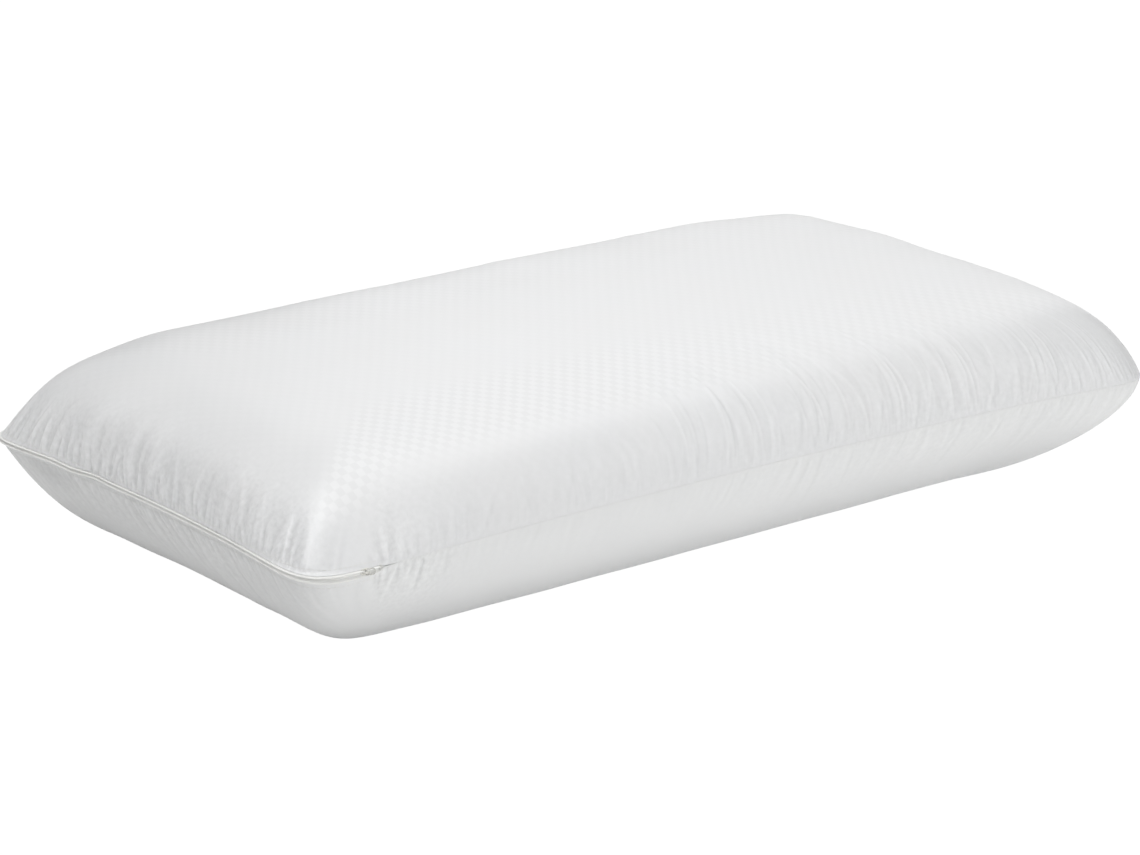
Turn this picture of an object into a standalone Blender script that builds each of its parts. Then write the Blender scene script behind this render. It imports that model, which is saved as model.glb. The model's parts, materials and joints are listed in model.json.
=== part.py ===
"""Bed pillow: a moulded foam core in a sewn inner cover, inside a removable zipped outer cover.

The pillow lies flat on Z = 0 with its length along X.  The outer cover is two panels that meet at a
seam about half way up.  The -X end opens with a reverse-coil zip, which also runs a little way along
both long sides.  Metres, +Z up, origin under the middle of the pillow.
"""

import math

import bmesh
import bpy
import numpy as np
from mathutils import Matrix, Vector

# Driving dimensions of the whole pillow
LENGTH = 0.700  # corner to corner along X
WIDTH = 0.3820  # corner to corner along Y
SEAM_HEIGHT = 0.0743  # the seam above the floor at the middle of the ends
UPPER_RISE = 0.0523  # from the seam to the shoulder of the upper panel
CROWN = 0.0090  # extra height in the middle of the upper panel
SHOULDER = 0.1229  # how far in from the seam the panels stop curving
CORNER_POWER = 6.6  # squareness of the corners in plan
CORNER_DROOP = 0.0055  # how far the seam drops at the corners
DROOP_POWER = 6
SEAM_TILT = 0.0017  # how much higher the seam is at the +X end than in the middle
SEAM_BOW = 0.0040  # how much higher the seam is half way along the long sides
END_PULL_IN = 0.0336  # share of the half length by which the ends pull in between their corners
SIDE_PULL_IN = 0.0072  # the same for the long sides
LOWER_PULL_IN = 0.0184  # what END_PULL_IN gains towards the underside
FLAT_SHARE = 0.15  # inner share of the shoulder that is flat

# Profile of each panel from the seam inwards: (1 - r ** POWER) ** (1 / ROOT)
UPPER_POWER = 4.30
UPPER_ROOT = 2.85
UPPER_CORNER_ROOT = 0.966
UPPER_CORNER_SLOPE = 0.166  # how the corner root grows from the middle to the +X end
LOWER_POWER = 2.46
LOWER_POWER_SLOPE = -0.344
LOWER_ROOT = 1.353
LOWER_CORNER_ROOT = 1.372
LOWER_CORNER_SLOPE = 0.244
CORNER_SPREAD = 1.02

# Layers, from the outside in
COVER_THICK = 0.0008
LINER_THICK = 0.0006
LAYER_GAP = 0.0004
CORE_INSET = 0.0100  # the core's wall from the seam
LINER_INSET = 0.0085  # the inner cover's wall from the seam
HEM = 0.0060  # width of the turned-in edge of each outer panel
SEAM_HALF_GAP = 0.00015  # half the gap where two panels meet
TOUCH_GAP = 0.0003

# Zip
ZIP_END_X = -0.2965  # where the zip ends on both long sides
ZIP_OPENING = 0.0036  # half the height between the two panels along the zip
ZIP_TAPER = 0.0030  # length over which that opening closes
TAPE_FACE = 0.0013  # the tapes' outer face, in from the seam line
TAPE_THICK = 0.0005
TAPE_HALF_GAP = 0.0005
TAPE_TOP = 0.0033
COIL_FACE = 0.0021
COIL_DEPTH = 0.0014
COIL_HEIGHT = 0.0015
COIL_END_GAP = 0.0040  # the coils stop this far short of the tapes
STOP_LENGTH = 0.0020
STITCH_LINE = 0.0045  # height of each line of stitches from the zip's middle
STITCH_GAP = 0.0006  # clear of the cloth, which bulges a little between its corners
THREAD = 0.0003
OVERLOCK = 0.0014  # how far the overlock thread reaches back over the turned-in edges
LINER_SEAM_HALF = 0.0010  # half the height of the inner cover's seam thread
LINER_SEAM_THICK = 0.0006
TACK_LENGTH = 0.0020
TACK_HALF_HEIGHT = 0.0042
TACK_THICK = 0.0006

# Slider and its pull ring
SLIDER_BACK = 0.0095  # from the zip's front end back to the slider's middle
SLIDER_TRAVEL = 0.0160
SLIDER_LENGTH = 0.0090
SLIDER_HALF_HEIGHT = 0.0032
SLIDER_FACE = -0.0006  # its outer face, in from the seam line
SLIDER_CORNER = 0.0016
PLATE_THICK = 0.0010
POST_X = (0.0005, 0.0030)  # the post between the plates, along the slider
POST_HALF_HEIGHT = 0.0002
INNER_PLATE_FACE = 0.0043
INNER_PLATE_THICK = 0.0008
INNER_PLATE_LENGTH = 0.0080
INNER_PLATE_HALF_HEIGHT = 0.0023
INNER_PLATE_CORNER = 0.0012
JOIN = 0.0002  # how far the slider's joined shapes run into each other
BRIDGE_LENGTH = 0.0048
BRIDGE_FOOT = 0.0012
BRIDGE_HALF_HEIGHT = 0.0008
BRIDGE_OPENING = 0.0015
BRIDGE_BAR = 0.0006
PULL_WIRE = 0.0008
PULL_LENGTH = 0.0060
PULL_HALF_HEIGHT = 0.0022
PULL_CORNER = 0.0012
PULL_SIDES = 8  # sides of the wire's section

# Mesh fineness
DENSE_STEPS = 400  # per corner and per side, for the smooth outline
BEND_WEIGHT = 0.35  # metres of outline that one radian of turn counts as
ZIP_STATIONS = 21
SEWN_STATIONS = 29
RINGS = (1.0, 0.985, 0.93, 0.82, 0.66, 0.44, FLAT_SHARE)  # shares of the shoulder, seam inwards
MIDDLE_SCALE = 0.5

HALF_LENGTH = LENGTH / 2
HALF_WIDTH = WIDTH / 2


def remove_all_objects():
    for item in list(bpy.data.objects):
        bpy.data.objects.remove(item, do_unlink=True)


def make_material(name, colour, roughness, metallic=0.0):
    material = bpy.data.materials.new(name)
    material.use_nodes = True
    shader = material.node_tree.nodes["Principled BSDF"]
    shader.inputs["Base Color"].default_value = (*colour, 1.0)
    shader.inputs["Roughness"].default_value = roughness
    shader.inputs["Metallic"].default_value = metallic
    return material


def make_object(name, verts, faces, material, origin=(0.0, 0.0, 0.0)):
    """A named object from world-space points, with its origin at the given point."""
    mesh = bpy.data.meshes.new(name)
    mesh.from_pydata([tuple(Vector(v) - Vector(origin)) for v in verts], [], faces)
    mesh.materials.append(material)
    bm = bmesh.new()
    bm.from_mesh(mesh)
    bmesh.ops.recalc_face_normals(bm, faces=bm.faces)
    if bm.calc_volume(signed=True) < 0:
        bmesh.ops.reverse_faces(bm, faces=bm.faces)
    bm.to_mesh(mesh)
    bm.free()
    item = bpy.data.objects.new(name, mesh)
    item.location = origin
    bpy.context.scene.collection.objects.link(item)
    return item


# ---------------------------------------------------------------- the pillow's surface


def outline():
    """The seam's plan outline, from the middle of the +Y side, anticlockwise seen from above.

    Each point is base + r * reach: base lies on the inner rectangle, where the panels are flat, and
    r = 1 is the seam.  Both come back as arrays of (x, y).
    """
    inner_x = HALF_LENGTH - SHOULDER
    inner_y = HALF_WIDTH - SHOULDER
    turn = np.linspace(0.0, math.pi / 2, DENSE_STEPS)
    near = np.abs(np.cos(turn)) ** (2 / CORNER_POWER)
    far = np.abs(np.sin(turn)) ** (2 / CORNER_POWER)
    near[-1] = 0.0
    run = np.linspace(0.0, 1.0, DENSE_STEPS)[1:-1]
    base = []
    reach = []

    def straight(start, end, direction):
        for t in run:
            base.append([start[0] + (end[0] - start[0]) * t, start[1] + (end[1] - start[1]) * t])
            reach.append([direction[0] * SHOULDER, direction[1] * SHOULDER])

    def corner(sign_x, sign_y, share_x, share_y):
        for u, v in zip(share_x, share_y):
            base.append([sign_x * inner_x, sign_y * inner_y])
            reach.append([sign_x * u * SHOULDER, sign_y * v * SHOULDER])

    straight((0.0, inner_y), (-inner_x, inner_y), (0, 1))
    corner(-1, 1, far, near)
    straight((-inner_x, inner_y), (-inner_x, -inner_y), (-1, 0))
    corner(-1, -1, near, far)
    straight((-inner_x, -inner_y), (inner_x, -inner_y), (0, -1))
    corner(1, -1, far, near)
    straight((inner_x, -inner_y), (inner_x, inner_y), (1, 0))
    corner(1, 1, near, far)
    straight((inner_x, inner_y), (0.0, inner_y), (0, 1))
    return np.array(base), np.array(reach)


def pull_in(plan, end_pull):
    """Draw the middle of each side in between the corners."""
    across = np.abs(plan[..., 0]) / HALF_LENGTH
    along = np.abs(plan[..., 1]) / HALF_WIDTH
    x = plan[..., 0] * (1 - end_pull * (1 - along**2))
    y = plan[..., 1] * (1 - SIDE_PULL_IN * (1 - across**2))
    return x, y


def corner_share(reach):
    """0 along the sides, rising to 1 at the middle of each corner."""
    u = np.abs(reach[..., 0])
    v = np.abs(reach[..., 1])
    return (2 * u * v / (u * u + v * v)) ** CORNER_SPREAD


def surface(base, reach, r, upper, scale=1.0):
    """Points of the outer face of a panel at share r of the shoulder (r = 1 is the seam)."""
    plan = (base + r * reach) * scale
    across = np.abs(plan[..., 0]) / HALF_LENGTH
    along = np.abs(plan[..., 1]) / HALF_WIDTH
    seam = SEAM_HEIGHT - CORNER_DROOP * (across * along) ** DROOP_POWER
    end = plan[..., 0] / HALF_LENGTH
    seam = seam + SEAM_TILT * end + SEAM_BOW * (1 - across**2)
    rise = max((r - FLAT_SHARE) / (1 - FLAT_SHARE), 0.0)
    share = corner_share(reach)
    if upper:
        corner_root = UPPER_CORNER_ROOT * (1 + UPPER_CORNER_SLOPE * end)
        root = UPPER_ROOT + (corner_root - UPPER_ROOT) * share
        fullness = (1 - rise**UPPER_POWER) ** (1 / root)
        z = seam + (SEAM_HEIGHT + UPPER_RISE - seam) * fullness
        z = z + CROWN * (1 - across**2) * (1 - along**2)
        x, y = pull_in(plan, END_PULL_IN)
    else:
        corner_root = LOWER_CORNER_ROOT * (1 + LOWER_CORNER_SLOPE * end)
        root = LOWER_ROOT + (corner_root - LOWER_ROOT) * share
        power = LOWER_POWER * (1 + LOWER_POWER_SLOPE * end)
        fullness = (1 - rise**power) ** (1 / root)
        z = seam * (1 - fullness)
        x, y = pull_in(plan, END_PULL_IN + LOWER_PULL_IN * fullness)
    return np.stack([x, y, z], axis=-1)


def resample(values, where, at):
    return np.stack([np.interp(at, where, values[:, k]) for k in range(values.shape[1])], axis=1)


class Outline:
    """The seam outline cut into stations: the zip's stretch first, then the sewn stretch."""

    def __init__(self):
        base, reach = outline()
        seam = surface(base, reach, 1.0, True)
        step = np.diff(seam, axis=0, append=seam[:1])
        heading = np.unwrap(np.arctan2(step[:, 1], step[:, 0]))
        turn = np.abs(np.diff(heading, append=heading[-1]))
        length = np.hypot(step[:, 0], step[:, 1])
        self.measure = np.concatenate([[0.0], np.cumsum(length + BEND_WEIGHT * turn)[:-1]])
        self.total = float(np.sum(length + BEND_WEIGHT * turn))
        self.base = base
        self.reach = reach
        self.seam = seam
        back = self.measure_at_x(ZIP_END_X, 1)
        front = self.measure_at_x(ZIP_END_X, -1)
        back_sewn = self.measure_at_x(ZIP_END_X + ZIP_TAPER, 1)
        front_sewn = self.measure_at_x(ZIP_END_X + ZIP_TAPER, -1)
        zipped = np.linspace(back, front, ZIP_STATIONS)
        sewn = np.linspace(front_sewn, back_sewn + self.total, SEWN_STATIONS) % self.total
        self.stations = np.concatenate([zipped, sewn])
        self.zip_count = ZIP_STATIONS
        self.count = len(self.stations)

    def measure_at_x(self, x, side):
        """Where the seam passes a given x on the +Y (side 1) or -Y (side -1) long side."""
        on_side = self.seam[:, 1] * side > HALF_WIDTH / 2
        gap = np.where(on_side, np.abs(self.seam[:, 0] - x), np.inf)
        near = int(np.argmin(gap))
        low = max(near - 2, 0)
        part = slice(low, near + 3)
        order = np.argsort(self.seam[part, 0])
        return float(np.interp(x, self.seam[part, 0][order], self.measure[part][order]))

    def frames(self, at=None):
        """Seam points and outward level normals at the stations, or at given measures."""
        at = self.stations if at is None else np.asarray(at)
        points = resample(self.seam, self.measure, at)
        small = 1e-3
        after = resample(self.seam, self.measure, (at + small) % self.total)
        before = resample(self.seam, self.measure, (at - small) % self.total)
        heading = (after - before)[:, :2]
        heading /= np.linalg.norm(heading, axis=1, keepdims=True)
        normals = np.stack([heading[:, 1], -heading[:, 0], np.zeros(len(at))], axis=1)
        return points, normals

    def rings(self, upper):
        """The outer face of one panel, as rings of station points from the seam to the middle."""
        base = resample(self.base, self.measure, self.stations)
        reach = resample(self.reach, self.measure, self.stations)
        rows = [surface(base, reach, r, upper) for r in RINGS]
        if upper:
            rows.append(surface(base, reach, FLAT_SHARE, upper, MIDDLE_SCALE))
        return np.array(rows)


def section_points(points, normals, inward, height):
    """One point at each station: in from the seam line, and up from it."""
    return points - normals * inward + np.array([0.0, 0.0, 1.0]) * height


def ring_normals(rows, seam_normals, upper):
    """Unit normals of the rings' surface.  At the seam they are level."""
    around = np.roll(rows, -1, axis=1) - np.roll(rows, 1, axis=1)
    inward = np.zeros_like(rows)
    inward[1:-1] = rows[2:] - rows[:-2]
    inward[0] = rows[1] - rows[0]
    inward[-1] = rows[-1] - rows[-2]
    normals = np.cross(around, inward)
    normals /= np.linalg.norm(normals, axis=2, keepdims=True)
    if not upper:
        normals = -normals
    normals[0] = seam_normals
    if not upper:
        normals[-1] = (0.0, 0.0, -1.0)
    return normals


def layer(rows, normals, seam_points, seam_normals, depth, inset):
    """The rings moved in by depth, and kept at least inset from the seam line."""
    moved = rows - normals * depth
    inward = np.einsum("rsk,sk->rs", seam_points[None] - moved, seam_normals)
    short = np.maximum(inset - inward, 0.0)
    return moved - seam_normals[None] * short[..., None]


def stack_rows(rows, close_last):
    """Vertices and faces of a stack of closed rings.  close_last fills the last ring."""
    count = rows[0].shape[0]
    verts = [tuple(p) for row in rows for p in row]
    faces = []
    for r in range(len(rows) - 1):
        for s in range(count):
            t = (s + 1) % count
            faces.append((r * count + s, r * count + t, (r + 1) * count + t, (r + 1) * count + s))
    last = (len(rows) - 1) * count
    if close_last == "fan":
        verts.append(tuple(np.mean(rows[-1], axis=0)))
        tip = len(verts) - 1
        faces += [(last + s, last + (s + 1) % count, tip) for s in range(count)]
    elif close_last == "flat":
        faces.append(tuple(last + s for s in range(count)))
    return verts, faces


def panel_shell(name, line, upper, depth, thick, inset, rim_heights, hem, material):
    """One half of a cover: an open bowl of cloth with an edge that turns in by hem at the seam."""
    points, normals = line.frames()
    rows = line.rings(upper)
    directions = ring_normals(rows, normals, upper)
    outer = layer(rows, directions, points, normals, depth, inset)
    inner = layer(rows, directions, points, normals, depth + thick, inset + thick)
    sign = 1 if upper else -1
    lift = np.array([0.0, 0.0, 1.0]) * sign

    def at_height(shell, height):
        low = shell[0]
        high = shell[1]
        share = (height / np.abs(high[:, 2] - low[:, 2]))[:, None]
        return low + (high - low) * share

    outer_rim = at_height(outer, rim_heights)
    fill = "fan" if upper else "flat"
    if hem:
        hem_low = section_points(points, normals, hem, 0.0) + lift * rim_heights[:, None]
        hem_high = hem_low + lift * thick
        inner_rim = at_height(inner, rim_heights + thick)
        edge = [hem_low, hem_high, inner_rim]
    else:
        edge = [at_height(inner, rim_heights)]
    outer_verts, outer_faces = stack_rows([outer_rim, *outer[1:]], fill)
    inner_verts, inner_faces = stack_rows([*edge, *inner[1:]], fill)
    start = len(outer_verts)
    faces = outer_faces + [tuple(i + start for i in face) for face in inner_faces]
    count = line.count
    faces += [(s, (s + 1) % count, start + (s + 1) % count, start + s) for s in range(count)]
    return make_object(name, outer_verts + inner_verts, faces, material)


def foam_core(line, material):
    """The block of foam: both panels' shapes, moved in, joined by an upright wall."""
    points, normals = line.frames()
    depth = COVER_THICK + LINER_THICK + 2 * LAYER_GAP
    halves = []
    for upper in (True, False):
        rows = line.rings(upper)
        directions = ring_normals(rows, normals, upper)
        halves.append(layer(rows, directions, points, normals, depth, CORE_INSET))
    top_verts, top_faces = stack_rows(halves[0], "fan")
    low_verts, low_faces = stack_rows(halves[1][1:], "flat")
    start = len(top_verts)
    count = line.count
    faces = top_faces + [tuple(i + start for i in face) for face in low_faces]
    faces += [(s, (s + 1) % count, start + (s + 1) % count, start + s) for s in range(count)]
    return make_object("foam_core", top_verts + low_verts, faces, material)


# ---------------------------------------------------------------- strips along the seam


def strip(name, points, normals, section, material, closed=False):
    """Sweep a section of (inward, height) points along the seam.

    A section point may hold arrays, one value for each station.
    """
    rows = [section_points(points, normals, np.reshape(s, (-1, 1)), 0.0) for s, _ in section]
    for row, (_, height) in zip(rows, section):
        row[:, 2] += height
    around = len(section)
    count = len(points)
    verts = [tuple(rows[k][i]) for i in range(count) for k in range(around)]
    faces = []
    for i in range(count if closed else count - 1):
        j = (i + 1) % count
        for k in range(around):
            m = (k + 1) % around
            faces.append((i * around + k, j * around + k, j * around + m, i * around + m))
    if not closed:
        faces.append(tuple(range(around)))
        faces.append(tuple((count - 1) * around + k for k in range(around)))
    return make_object(name, verts, faces, material)


def seam_thread(line, material):
    """Overlock thread round the two turned-in edges, along the three sewn sides."""
    stations = line.stations[line.zip_count :]
    points, normals = line.frames(stations)
    near = HEM - OVERLOCK
    tip = HEM + TOUCH_GAP
    inner = SEAM_HALF_GAP + COVER_THICK + TOUCH_GAP
    outer = inner + THREAD
    section = [
        (near, inner),
        (tip, inner),
        (tip, -inner),
        (near, -inner),
        (near, -outer),
        (tip + THREAD, -outer),
        (tip + THREAD, outer),
        (near, outer),
    ]
    return strip("cover_seam_thread", points, normals, section, material)


def liner_thread(line, material):
    """The inner cover's own seam thread, right round its edge."""
    points, normals = line.frames()
    inner = LINER_INSET - TOUCH_GAP
    outer = inner - LINER_SEAM_THICK
    half = LINER_SEAM_HALF
    section = [(outer, -half), (outer, half), (inner, half), (inner, -half)]
    return strip("inner_cover_seam_thread", points, normals, section, material, closed=True)


def zip_measures(line, end_gap):
    """The zip's stations, with both ends drawn back by end_gap."""
    back = line.measure_at_x(ZIP_END_X - end_gap, 1)
    front = line.measure_at_x(ZIP_END_X - end_gap, -1)
    middle = line.stations[1 : line.zip_count - 1]
    return np.concatenate([[back], middle, [front]])


def zip_tapes(line, material):
    points, normals = line.frames(zip_measures(line, TOUCH_GAP))
    back = TAPE_FACE + TAPE_THICK
    for side, sign in (("upper", 1), ("lower", -1)):
        section = [
            (TAPE_FACE, sign * TAPE_HALF_GAP),
            (back, sign * TAPE_HALF_GAP),
            (back, sign * (TAPE_TOP - TAPE_THICK)),
            (HEM, sign * (TAPE_TOP - TAPE_THICK)),
            (HEM, sign * TAPE_TOP),
            (TAPE_FACE, sign * TAPE_TOP),
        ]
        strip("zip_tape_" + side, points, normals, section, material)


def coil_section(sign):
    low = sign * TAPE_HALF_GAP
    high = sign * (TAPE_HALF_GAP + COIL_HEIGHT)
    deep = COIL_FACE + COIL_DEPTH
    return [(COIL_FACE, low), (deep, low), (deep, high), (COIL_FACE, high)]


def zip_coils(line, material):
    points, normals = line.frames(zip_measures(line, COIL_END_GAP))
    for side, sign in (("upper", 1), ("lower", -1)):
        strip("zip_coil_" + side, points, normals, coil_section(sign), material)


def outer_inset(line, at, height, upper):
    """How far in from the seam line the outer cover's face is, at a height above or below it."""
    base = resample(line.base, line.measure, at)
    reach = resample(line.reach, line.measure, at)
    points, normals = line.frames(at)
    low = surface(base, reach, RINGS[0], upper)
    high = surface(base, reach, RINGS[1], upper)
    share = height / np.abs(high[:, 2] - low[:, 2])
    inward = np.einsum("sk,sk->s", points - high, normals)
    return inward * share


def zip_stitches(line, material):
    """A line of thread on each panel, just beside the zip, lying on the cloth."""
    at = zip_measures(line, TOUCH_GAP)
    points, normals = line.frames(at)
    for side, sign in (("upper", 1), ("lower", -1)):
        face = outer_inset(line, at, STITCH_LINE, sign > 0) - STITCH_GAP
        low = sign * (STITCH_LINE - THREAD / 2)
        high = sign * (STITCH_LINE + THREAD / 2)
        section = [(face, low), (face, high), (face - THREAD, high), (face - THREAD, low)]
        strip("zip_stitches_" + side, points, normals, section, material)


def box_on_seam(line, side, x_low, x_high, inward, height):
    """Vertices and faces of a block along a long side, between two x positions."""
    at = [line.measure_at_x(x_low, side), line.measure_at_x(x_high, side)]
    points, normals = line.frames(at)
    verts = []
    for i in range(2):
        for s, h in (
            (inward[0], height[0]),
            (inward[1], height[0]),
            (inward[1], height[1]),
            (inward[0], height[1]),
        ):
            verts.append(tuple(section_points(points[i : i + 1], normals[i : i + 1], s, h)[0]))
    faces = [(0, 1, 2, 3), (7, 6, 5, 4)]
    faces += [(k, (k + 1) % 4, (k + 1) % 4 + 4, k + 4) for k in range(4)]
    return verts, faces


def zip_stops(line, material):
    """Two top stops at the front end of the zip, and one bottom stop across its back end."""
    end = ZIP_END_X - COIL_END_GAP + TOUCH_GAP
    depth = (COIL_FACE, COIL_FACE + COIL_DEPTH)
    low = TAPE_HALF_GAP
    high = TAPE_HALF_GAP + COIL_HEIGHT
    for side, height in (("upper", (low, high)), ("lower", (-high, -low))):
        block = box_on_seam(line, -1, end, end + STOP_LENGTH, depth, height)
        make_object("zip_top_stop_" + side, *block, material)
    bottom = box_on_seam(line, 1, end, end + STOP_LENGTH, depth, (-high, high))
    make_object("zip_bottom_stop", *bottom, material)


def end_tacks(line, material):
    """A short bar of dense stitching across the seam at each end of the zip."""
    for name, side in (("front", -1), ("back", 1)):
        start = ZIP_END_X + TOUCH_GAP
        depth = (-TOUCH_GAP - TACK_THICK, -TOUCH_GAP)
        height = (-TACK_HALF_HEIGHT, TACK_HALF_HEIGHT)
        block = box_on_seam(line, side, start, start + TACK_LENGTH, depth, height)
        make_object("zip_end_tack_" + name, *block, material)


# ---------------------------------------------------------------- slider and pull


def slider_frame(line):
    """The slider's place: local X runs to the zip's closed end, Y out of the pillow, Z up."""
    middle_x = ZIP_END_X - SLIDER_BACK
    at = [line.measure_at_x(middle_x - SLIDER_TRAVEL, -1), line.measure_at_x(middle_x, -1)]
    points, _ = line.frames(at)
    forward = Vector(points[1] - points[0]).normalized()
    outward = forward.cross(Vector((0.0, 0.0, 1.0))).normalized()
    upward = outward.cross(forward).normalized()
    frame = Matrix((forward, outward, upward)).transposed().to_4x4()
    frame.translation = Vector(points[1])
    return frame


def local_box(frame, x, inward, z):
    """A block in the slider's frame, given its extents along X, in from the seam line, and Z."""
    corners = [(x[i], -inward[j], z[k]) for i in (0, 1) for j in (0, 1) for k in (0, 1)]
    verts = [tuple(frame @ Vector(c)) for c in corners]
    faces = [(0, 1, 3, 2), (4, 6, 7, 5), (0, 4, 5, 1), (2, 3, 7, 6), (0, 2, 6, 4), (1, 5, 7, 3)]
    return verts, faces


def rounded_plate(length, half_height, corner, steps=4):
    """Outline of a plate with rounded corners, in X and Z, anticlockwise."""
    outline_points = []
    for cx, cz, start in ((1, 1, 0), (-1, 1, 1), (-1, -1, 2), (1, -1, 3)):
        for i in range(steps + 1):
            angle = (start + i / steps) * math.pi / 2
            x = cx * (length / 2 - corner) + corner * math.cos(angle)
            z = cz * (half_height - corner) + corner * math.sin(angle)
            outline_points.append((x, z))
    return outline_points


def prism(frame, outline_points, near, far):
    """A plate of the given outline between two depths in from the seam line."""
    count = len(outline_points)
    verts = [tuple(frame @ Vector((x, -near, z))) for x, z in outline_points]
    verts += [tuple(frame @ Vector((x, -far, z))) for x, z in outline_points]
    faces = [tuple(range(count)), tuple(range(2 * count - 1, count - 1, -1))]
    faces += [(i, i + count, (i + 1) % count + count, (i + 1) % count) for i in range(count)]
    return verts, faces


def union(name, shapes, material, origin):
    """One solid from overlapping shapes, by exact Boolean unions."""
    base = make_object(name, *shapes[0], material, origin)
    for index, shape in enumerate(shapes[1:]):
        tool = make_object(f"{name}_tool_{index}", *shape, material)
        tool.hide_render = True
        tool.display_type = "WIRE"
        cut = base.modifiers.new(f"join_{index}", "BOOLEAN")
        cut.operation = "UNION"
        cut.solver = "EXACT"
        cut.object = tool
    return base


def zip_slider(frame, material):
    """Outer plate with a bridge for the pull, and an inner plate behind the coils."""
    plate_back = SLIDER_FACE + PLATE_THICK
    outer = prism(
        frame,
        rounded_plate(SLIDER_LENGTH, SLIDER_HALF_HEIGHT, SLIDER_CORNER),
        SLIDER_FACE,
        plate_back,
    )
    inner = prism(
        frame,
        rounded_plate(INNER_PLATE_LENGTH, INNER_PLATE_HALF_HEIGHT, INNER_PLATE_CORNER),
        INNER_PLATE_FACE,
        INNER_PLATE_FACE + INNER_PLATE_THICK,
    )
    post = local_box(
        frame,
        POST_X,
        (plate_back - JOIN, INNER_PLATE_FACE + JOIN),
        (-POST_HALF_HEIGHT, POST_HALF_HEIGHT),
    )
    top = SLIDER_FACE - BRIDGE_OPENING
    half = BRIDGE_LENGTH / 2
    width = (-BRIDGE_HALF_HEIGHT, BRIDGE_HALF_HEIGHT)
    shapes = [outer, inner, post]
    for low in (-half, half - BRIDGE_FOOT):
        depth = (top - BRIDGE_BAR, SLIDER_FACE + JOIN)
        shapes.append(local_box(frame, (low, low + BRIDGE_FOOT), depth, width))
    bar = (-half + BRIDGE_FOOT / 2, half - BRIDGE_FOOT / 2)
    shapes.append(local_box(frame, bar, (top - BRIDGE_BAR, top), width))
    return union("zip_slider", shapes, material, frame.translation)


def zip_pull(frame, material):
    """A closed wire ring whose near side is the pin that turns under the slider's bridge."""
    pivot = frame @ Vector((0.0, -(SLIDER_FACE - BRIDGE_OPENING / 2), 0.0))
    path = []
    middle = PULL_LENGTH / 2
    for x, z in rounded_plate(PULL_LENGTH, PULL_HALF_HEIGHT, PULL_CORNER):
        path.append(Vector((x + middle, 0.0, z)))
    count = len(path)
    verts = []
    for i in range(count):
        ahead = path[(i + 1) % count] - path[i - 1]
        tangent = ahead.normalized()
        side = tangent.cross(Vector((0.0, 1.0, 0.0))).normalized()
        for k in range(PULL_SIDES):
            angle = 2 * math.pi * k / PULL_SIDES
            offset = side * math.cos(angle) + Vector((0.0, 1.0, 0.0)) * math.sin(angle)
            local = path[i] + offset * PULL_WIRE / 2
            verts.append(tuple(frame.to_3x3() @ local + pivot))
    faces = []
    for i in range(count):
        j = (i + 1) % count
        for k in range(PULL_SIDES):
            m = (k + 1) % PULL_SIDES
            row = i * PULL_SIDES
            next_row = j * PULL_SIDES
            faces.append((row + k, next_row + k, next_row + m, row + m))
    return make_object("zip_pull", verts, faces, material, pivot)


def main():
    remove_all_objects()
    satin = make_material("cover_satin", (0.90, 0.905, 0.91), 0.45)
    plain = make_material("cover_plain", (0.87, 0.875, 0.87), 0.70)
    tricot = make_material("inner_cover_tricot", (0.88, 0.88, 0.87), 0.80)
    foam = make_material("foam", (0.86, 0.83, 0.74), 0.90)
    thread = make_material("thread", (0.88, 0.88, 0.86), 0.60)
    tape = make_material("zip_tape", (0.84, 0.83, 0.77), 0.70)
    coil = make_material("zip_coil", (0.86, 0.85, 0.79), 0.35)
    enamel = make_material("slider_enamel", (0.80, 0.79, 0.73), 0.35)
    wire = make_material("pull_wire", (0.62, 0.61, 0.58), 0.30, 1.0)

    line = Outline()
    rims = np.full(line.count, SEAM_HALF_GAP)
    rims[: line.zip_count] = ZIP_OPENING
    level = np.full(line.count, SEAM_HALF_GAP)
    liner_depth = COVER_THICK + LAYER_GAP

    foam_core(line, foam)
    for side, upper, cloth in (("top", True, satin), ("bottom", False, plain)):
        panel_shell(
            "inner_cover_" + side, line, upper, liner_depth, LINER_THICK, LINER_INSET, level, 0, tricot
        )
        panel_shell("cover_" + side, line, upper, 0.0, COVER_THICK, 0.0, rims, HEM, cloth)
    seam_thread(line, thread)
    liner_thread(line, thread)
    zip_tapes(line, tape)
    zip_coils(line, coil)
    zip_stitches(line, thread)
    zip_stops(line, coil)
    end_tacks(line, thread)

    frame = slider_frame(line)
    slider = zip_slider(frame, enamel)
    pull = zip_pull(frame, wire)
    bpy.context.view_layer.update()
    pull.parent = slider
    pull.matrix_parent_inverse = slider.matrix_world.inverted()


main()
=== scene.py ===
"""Looks of the bed pillow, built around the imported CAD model.

The outer cover's two panels are rebuilt as fine cloth shells on the CAD's own shape rule, with the
gathers, creases and rolled seams of real sewing.  The zip gets woven tapes, toothed coils, separate
stitches, a rounded slider and a wire ring.  The pieces inside keep their CAD shape and get cloth,
thread and foam materials.  Metres, +Z up, the same frame as the CAD.
"""

import json
import math

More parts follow.
